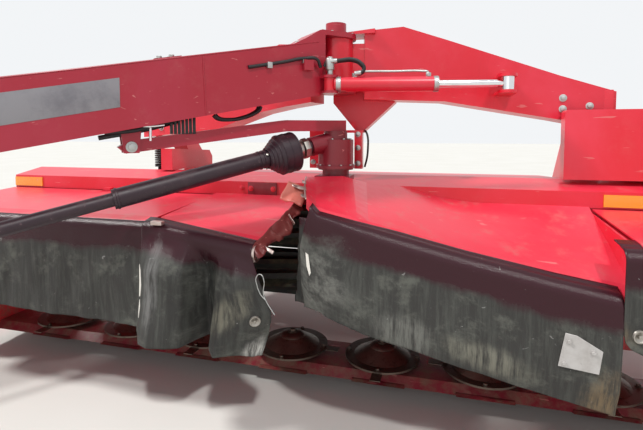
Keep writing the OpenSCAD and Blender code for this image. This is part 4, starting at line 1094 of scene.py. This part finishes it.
# %% Crank the jack and bolt the side sheets
SIDE_SHEET_X = 1.1503
CRANK = ((0, 0.02), (0, 0.075), (0.13, 0.08), (0.135, 0.17))
top = on_tongue(-0.162, 4.75, 1.0145)
bm = bmesh.new()
add_rod(bm, top - Vector((0, 0, 0.001)), top + Vector((0, 0, 0.022)), 0.03, sides=32, bevel=0.003)
make_piece(bm, "jack_cap", BLACK_PAINT, "tongue")
ahead = on_tongue(0, 1, 0) - on_tongue(0, 0, 0)
crank = [top + ahead * reach + Vector((0, 0, up)) for reach, up in CRANK]
bend_tubes("jack_crank", [crank], 0.008, ZINC, "tongue")
bm = bmesh.new()
for side in (-1, 1):
    for y, z in ((0.42, 0.8), (0.7, 0.86), (0.96, 0.78), (0.36, 0.52), (0.74, 0.5)):
        add_bolt(bm, spot(side * SIDE_SHEET_X, y, z), (side, 0, 0), 0.01)
make_piece(bm, "side_sheet_bolts", ZINC, "chassis")
print("jack and side sheets fitted")

# %% [markdown]
# ## The torn notch
# Between the inner curtains the sheet metal has been hit: the left sheet's edge is bent down into a
# crumpled flange, its corner has peeled back in bright slivers, and a wire hangs from the hem. A
# crumpled piece is a grid between two rails of points, pushed about by noise and given a wall. The
# noise of three values starts at a random place in every run unless it has a seed, so it gets one.


# %% Crumple sheet metal between two rails
noise.seed_set(7)


def rail(points, t):
    run = t * (len(points) - 1)
    i = min(int(run), len(points) - 2)
    return Vector(points[i]).lerp(Vector(points[i + 1]), run - i)


def crumple(name, upper, lower, finish, seed, size, columns=28, rows=8, wall=0.003):
    bm = bmesh.new()
    bmesh.ops.create_grid(bm, x_segments=columns, y_segments=rows, size=0.5)
    layer = bm.loops.layers.uv.new("flat")
    for v in bm.verts:
        u, w = v.co.x + 0.5, 0.5 - v.co.y
        at = rail(upper, u).lerp(rail(lower, u), w)
        dents = noise.noise_vector(Vector((at.x * 14, at.y * 14, at.z * 14 + seed)))
        push = dents + 0.5 * noise.noise_vector(at * 37)
        v.co = spot(*at) + push * size * (0.25 + 0.75 * w)
        for loop in v.link_loops:
            loop[layer].uv = (u * 0.3 - 3, 0.2 + 0.3 * w)
    piece = make_piece(bm, name, finish, "chassis", crease=24, merge=1e-7)
    piece.modifiers.new("wall", "SOLIDIFY").thickness = wall


print("sheet metal can be crumpled")

# %% [markdown]
# The second flap is a strip of cloth behind the gap. At the other end of the bent right sheet, a
# joint cover fills the wedge that has opened beside the hinged shield.

# %% Flange, corner, slivers, flap and joint cover
SLIVERS = (
    ((-0.205, -0.118, 1.062), (-0.12, -0.125, 1.05), (-0.2, -0.135, 1.05), (-0.112, -0.14, 1.034)),
    ((-0.15, -0.115, 1.085), (-0.06, -0.12, 1.062), (-0.142, -0.125, 1.072), (-0.066, -0.13, 1.052)),
    ((-0.175, -0.13, 1.022), (-0.105, -0.14, 1.008), (-0.165, -0.15, 1.006), (-0.112, -0.15, 0.996)),
    ((-0.222, -0.5, 0.846), (-0.15, -0.51, 0.815), (-0.214, -0.515, 0.832), (-0.156, -0.52, 0.803)),
    ((-0.16, -0.3, 0.935), (-0.128, -0.31, 0.89), (-0.15, -0.31, 0.94), (-0.12, -0.32, 0.9)))
crumple("torn_flange",
        [(-0.168, -0.112, 0.986), (-0.19, -0.27, 0.938), (-0.21, -0.42, 0.89), (-0.229, -0.56, 0.845)],
        [(-0.135, -0.125, 0.935), (-0.15, -0.29, 0.872), (-0.168, -0.43, 0.835), (-0.196, -0.57, 0.8)],
        FLANGE_SHADE_RED, 2.0, 0.03)
crumple("bent_corner", [(-0.235, -0.085, 1.072), (-0.175, -0.1, 1.058), (-0.118, -0.1, 1.03)],
        [(-0.245, -0.18, 0.99), (-0.185, -0.2, 0.985), (-0.13, -0.19, 0.96)],
        BLEACHED_AND_SHEEN, 5.0, 0.012, columns=14)
for i, points in enumerate(SLIVERS):
    crumple("torn_sliver_%d" % (i + 1), points[:2], points[2:], TORN, i * 3.0, 0.006, columns=10, rows=3,
            wall=0.002)
crumple("second_flap", [(-0.045, -0.47, 0.96), (0.045, -0.5, 0.96)],
        [(-0.05, -0.5, 0.61), (0.04, -0.53, 0.6)],
        CLOTH, 7.0, 0.016, columns=10, rows=24, wall=0.004)
crumple("joint_cover",
        [(1.209, 0.0, 0.957), (1.209, -0.2, 0.943), (1.209, -0.4, 0.929), (1.209, -0.56, 0.916)],
        [(1.203, 0.0, 0.94), (1.203, -0.2, 0.868), (1.203, -0.4, 0.796), (1.203, -0.56, 0.742)],
        RED, 9.0, 0.003)
print("notch: flange, corner,", len(SLIVERS), "slivers, flap and joint cover")

# %% [markdown]
# Fittings on the cloth are laid on it by a ray from the front, which returns the point it meets and
# the way the cloth faces there.

# %% Lay a point on a curtain
from mathutils.bvhtree import BVHTree


def on_cloth(piece, x, z, lift=0.003):
    mesh = piece.data
    tree = BVHTree.FromPolygons([v.co for v in mesh.vertices], [list(p.vertices) for p in mesh.polygons])
    at, normal, *_ = tree.ray_cast(spot(x, -1.2, z), Vector((0, 1, 0)))
    normal = -normal if normal.y > 0 else normal
    return at + normal * lift, normal


def add_plate(bm, points, out, thick, bevel=0.0):
    face = bm.faces.new([bm.verts.new(p) for p in points])
    grown = bmesh.ops.extrude_face_region(bm, geom=[face])
    made = [v for v in grown["geom"] if isinstance(v, bmesh.types.BMVert)]
    bmesh.ops.translate(bm, verts=made, vec=out * thick)
    if bevel:
        round_off(bm, edges_of(made), bevel, segments=1)


left_cloth, right_cloth, outer_cloth = (bpy.data.objects[name] for name in (
    "left_inner_cloth", "right_inner_cloth", "right_outer_cloth"))
print("rays can be cast on", left_cloth.name, right_cloth.name, outer_cloth.name)

# %% [markdown]
# Two curtains have a dished washer under a bolt at a corner, and a steel plate has been bolted over a
# worn place of the right inner one. The cloth has split in three places, where pale threads show.

# %% Washers, patch plate and slits
WASHER = [(0.006, 0.001), (0.014, 0.002), (0.018, 0.005), (0.023, 0.005), (0.025, 0.0), (0.02, -0.004)]
PLATE_CORNERS = ((0.971, 0.62), (1.008, 0.614), (1.09, 0.566), (1.081, 0.482), (0.95, 0.498))
SLITS = (
    (left_cloth, ((-0.754, 0.738), (-0.741, 0.715), (-0.733, 0.65), (-0.738, 0.6), (-0.75, 0.595),
                  (-0.752, 0.66))),
    (left_cloth, ((-0.742, 0.585), (-0.728, 0.56), (-0.734, 0.51), (-0.742, 0.53))),
    (right_cloth, ((0.008, 0.832), (0.02, 0.824), (0.032, 0.75), (0.026, 0.738), (0.012, 0.775))))
for label, cloth, body, x, z in (("left", left_cloth, "chassis", -0.205, 0.536),
                                 ("right", outer_cloth, "shield_right", 1.2, 0.63)):
    bm = bmesh.new()
    at, out = on_cloth(cloth, x, z)
    add_round(bm, WASHER, at, out, steps=32)
    add_bolt(bm, at, out, 0.007, washer=False)
    make_piece(bm, "cloth_washer_" + label, STEEL, body)
bm = bmesh.new()
corners = [on_cloth(right_cloth, x, z, 0.004) for x, z in PLATE_CORNERS]
out = sum((normal for at, normal in corners), Vector()).normalized()
add_plate(bm, [at for at, normal in corners], out, 0.004, 0.001)
for x, z in ((0.983, 0.592), (0.968, 0.512), (1.06, 0.56)):
    add_bolt(bm, on_cloth(right_cloth, x, z, 0.009)[0], out, 0.006)
make_piece(bm, "patch_plate", PATCH, "chassis", crease=20)
bm = bmesh.new()
for cloth, outline in SLITS:
    points = [on_cloth(cloth, x, z) for x, z in outline]
    add_plate(bm, [at for at, normal in points], points[0][1], 0.002)
make_piece(bm, "slit_edges", PALE, "chassis", crease=20)
print("two washers, a patch plate and", len(SLITS), "slits")

# %% [markdown]
# A rolled tube end and a clip sit on the left sheet's edge, a bent wire hangs from the curtain's hem, a
# bolted dark plate on the ridge paints the shadow that falls across its face, and a bright lip runs along the
# torn edge of the right sheet.

# %% Roll end, hem wire, ridge plate of painted shadow and torn lip
ROLL_END = [(0.027, 0.0), (0.033, 0.004), (0.036, 0.02), (0.038, 0.004), (0.037, -0.03)]
WIRE_Y = -0.655
WIRE = (((-0.165, 0.7), (-0.17, 0.745), (-0.152, 0.757), (-0.138, 0.735), (-0.14, 0.68), (-0.128, 0.65),
         (-0.092, 0.597)), ((-0.165, 0.7), (-0.15, 0.672), (-0.132, 0.655)))
TORN_LIP = ((-0.128, -0.113, 1.1), (-0.09, -0.25, 1.094), (-0.04, -0.42, 1.08), (0.01, -0.565, 1.056))
bm = bmesh.new()
add_round(bm, ROLL_END, spot(-0.236, -0.54, 0.806), (1, 0, 0.05), steps=36)
add_block(bm, spot(-0.712, -0.584, 0.912), spot(-0.655, -0.556, 0.93), 0.003)
make_piece(bm, "roll_end_and_clip", TORN, "chassis")
bend_tubes("hem_wire", [[spot(x, WIRE_Y, z) for x, z in bend] for bend in WIRE], 0.0022, ZINC, "chassis")
# The dark plate on the ridge's face is painted shadow, laid where a shadow falls across the ridge.
bm = bmesh.new()
add_block(bm, spot(-0.52, 0.033, 0.977), spot(-0.346, 0.04, 1.047), 0.002)
make_piece(bm, "ridge_plate", DEEP_SHADE_RED, "chassis")
bm = bmesh.new()
for x, y in ((-0.559, 0.039), (-0.5, 0.033), (-0.366, 0.033)):
    add_bolt(bm, spot(x, y, 1.012), (0, -1, 0), 0.009)
make_piece(bm, "ridge_bolts", RED, "chassis")
bend_tubes("torn_lip", [[spot(*p) for p in TORN_LIP]], 0.0032, TORN, "chassis")
print("roll end, wire, ridge plate and lip fitted")

# %% [markdown]
# ## Floor, backdrop and light
# A pale floor reaches nearly to the horizon, and the world behind it is nearly white for the camera and
# in reflections, while it lights the machine more softly. The key lamp stands far off, high at the left
# of the picture: it brightens the sheets' tops and leaves the tongue's side in shade. The second lamp
# stands where its reflection runs along the right curtain's roll, and a weak, wide one fills the
# shadows from the front.

# %% Make the floor
floor_paint = Finish("floor", "DAD9D5", 0.8)
floor_paint.cover(floor_paint.between(floor_paint.noise(0.6, 3), 0.3, 0.7), "D6D5D0")
bm = bmesh.new()
bmesh.ops.create_grid(bm, x_segments=2, y_segments=2, size=70)
floor_mesh = bpy.data.meshes.new("floor")
bm.to_mesh(floor_mesh)
bm.free()
floor = bpy.data.objects.new("floor", floor_mesh)
floor_mesh.materials.append(floor_paint.done())
bpy.context.scene.collection.objects.link(floor)
print("floor laid")

# %% [markdown]
# The lamps are suns, so their distance doesn't matter. The world's strength is chosen by the kind of
# ray that meets it: soft for light that falls on the machine, bright for what is seen or mirrored.

# %% Set the lamps and the world
WORLD_LIGHTS, WORLD_SEEN = 0.42, 0.93


def lamp(name, towards, power, soft, tint):
    """A distant lamp that shines along a direction; soft is how wide it looks, in degrees."""
    light = bpy.data.lights.new(name, "SUN")
    light.energy = power
    light.angle = math.radians(soft)
    light.color = tint
    made = bpy.data.objects.new(name, light)
    made.rotation_euler = Vector(towards).to_track_quat("-Z", "Y").to_euler()
    bpy.context.scene.collection.objects.link(made)


lamp("key_lamp", (0.913, 0.407, -1.05), 2.55, 8, (1, 0.985, 0.96))
lamp("roll_lamp", (-0.31, 0.5, -0.8), 1.4, 4, (1, 0.99, 0.97))
lamp("fill_lamp", (0.1, 1.0, -0.35), 0.25, 50, (0.96, 0.98, 1))

world = bpy.data.worlds.new("studio")
bpy.context.scene.world = world
world.use_nodes = True
tree = world.node_tree
background = tree.nodes["Background"]
rays = tree.nodes.new("ShaderNodeLightPath").outputs
seen = rays["Is Camera Ray"]
for kind in ("Is Glossy Ray", "Is Transmission Ray"):
    seen = add_node(tree, "Math", {0: seen, 1: rays[kind]}, operation="MAXIMUM")
level = add_node(tree, "MapRange", {"To Min": WORLD_LIGHTS, "To Max": WORLD_SEEN, "Value": seen})
feed(tree, background.inputs["Strength"], level)
feed(tree, background.inputs["Color"], (0.96, 0.98, 1, 1))
print("three lamps and the world ready")
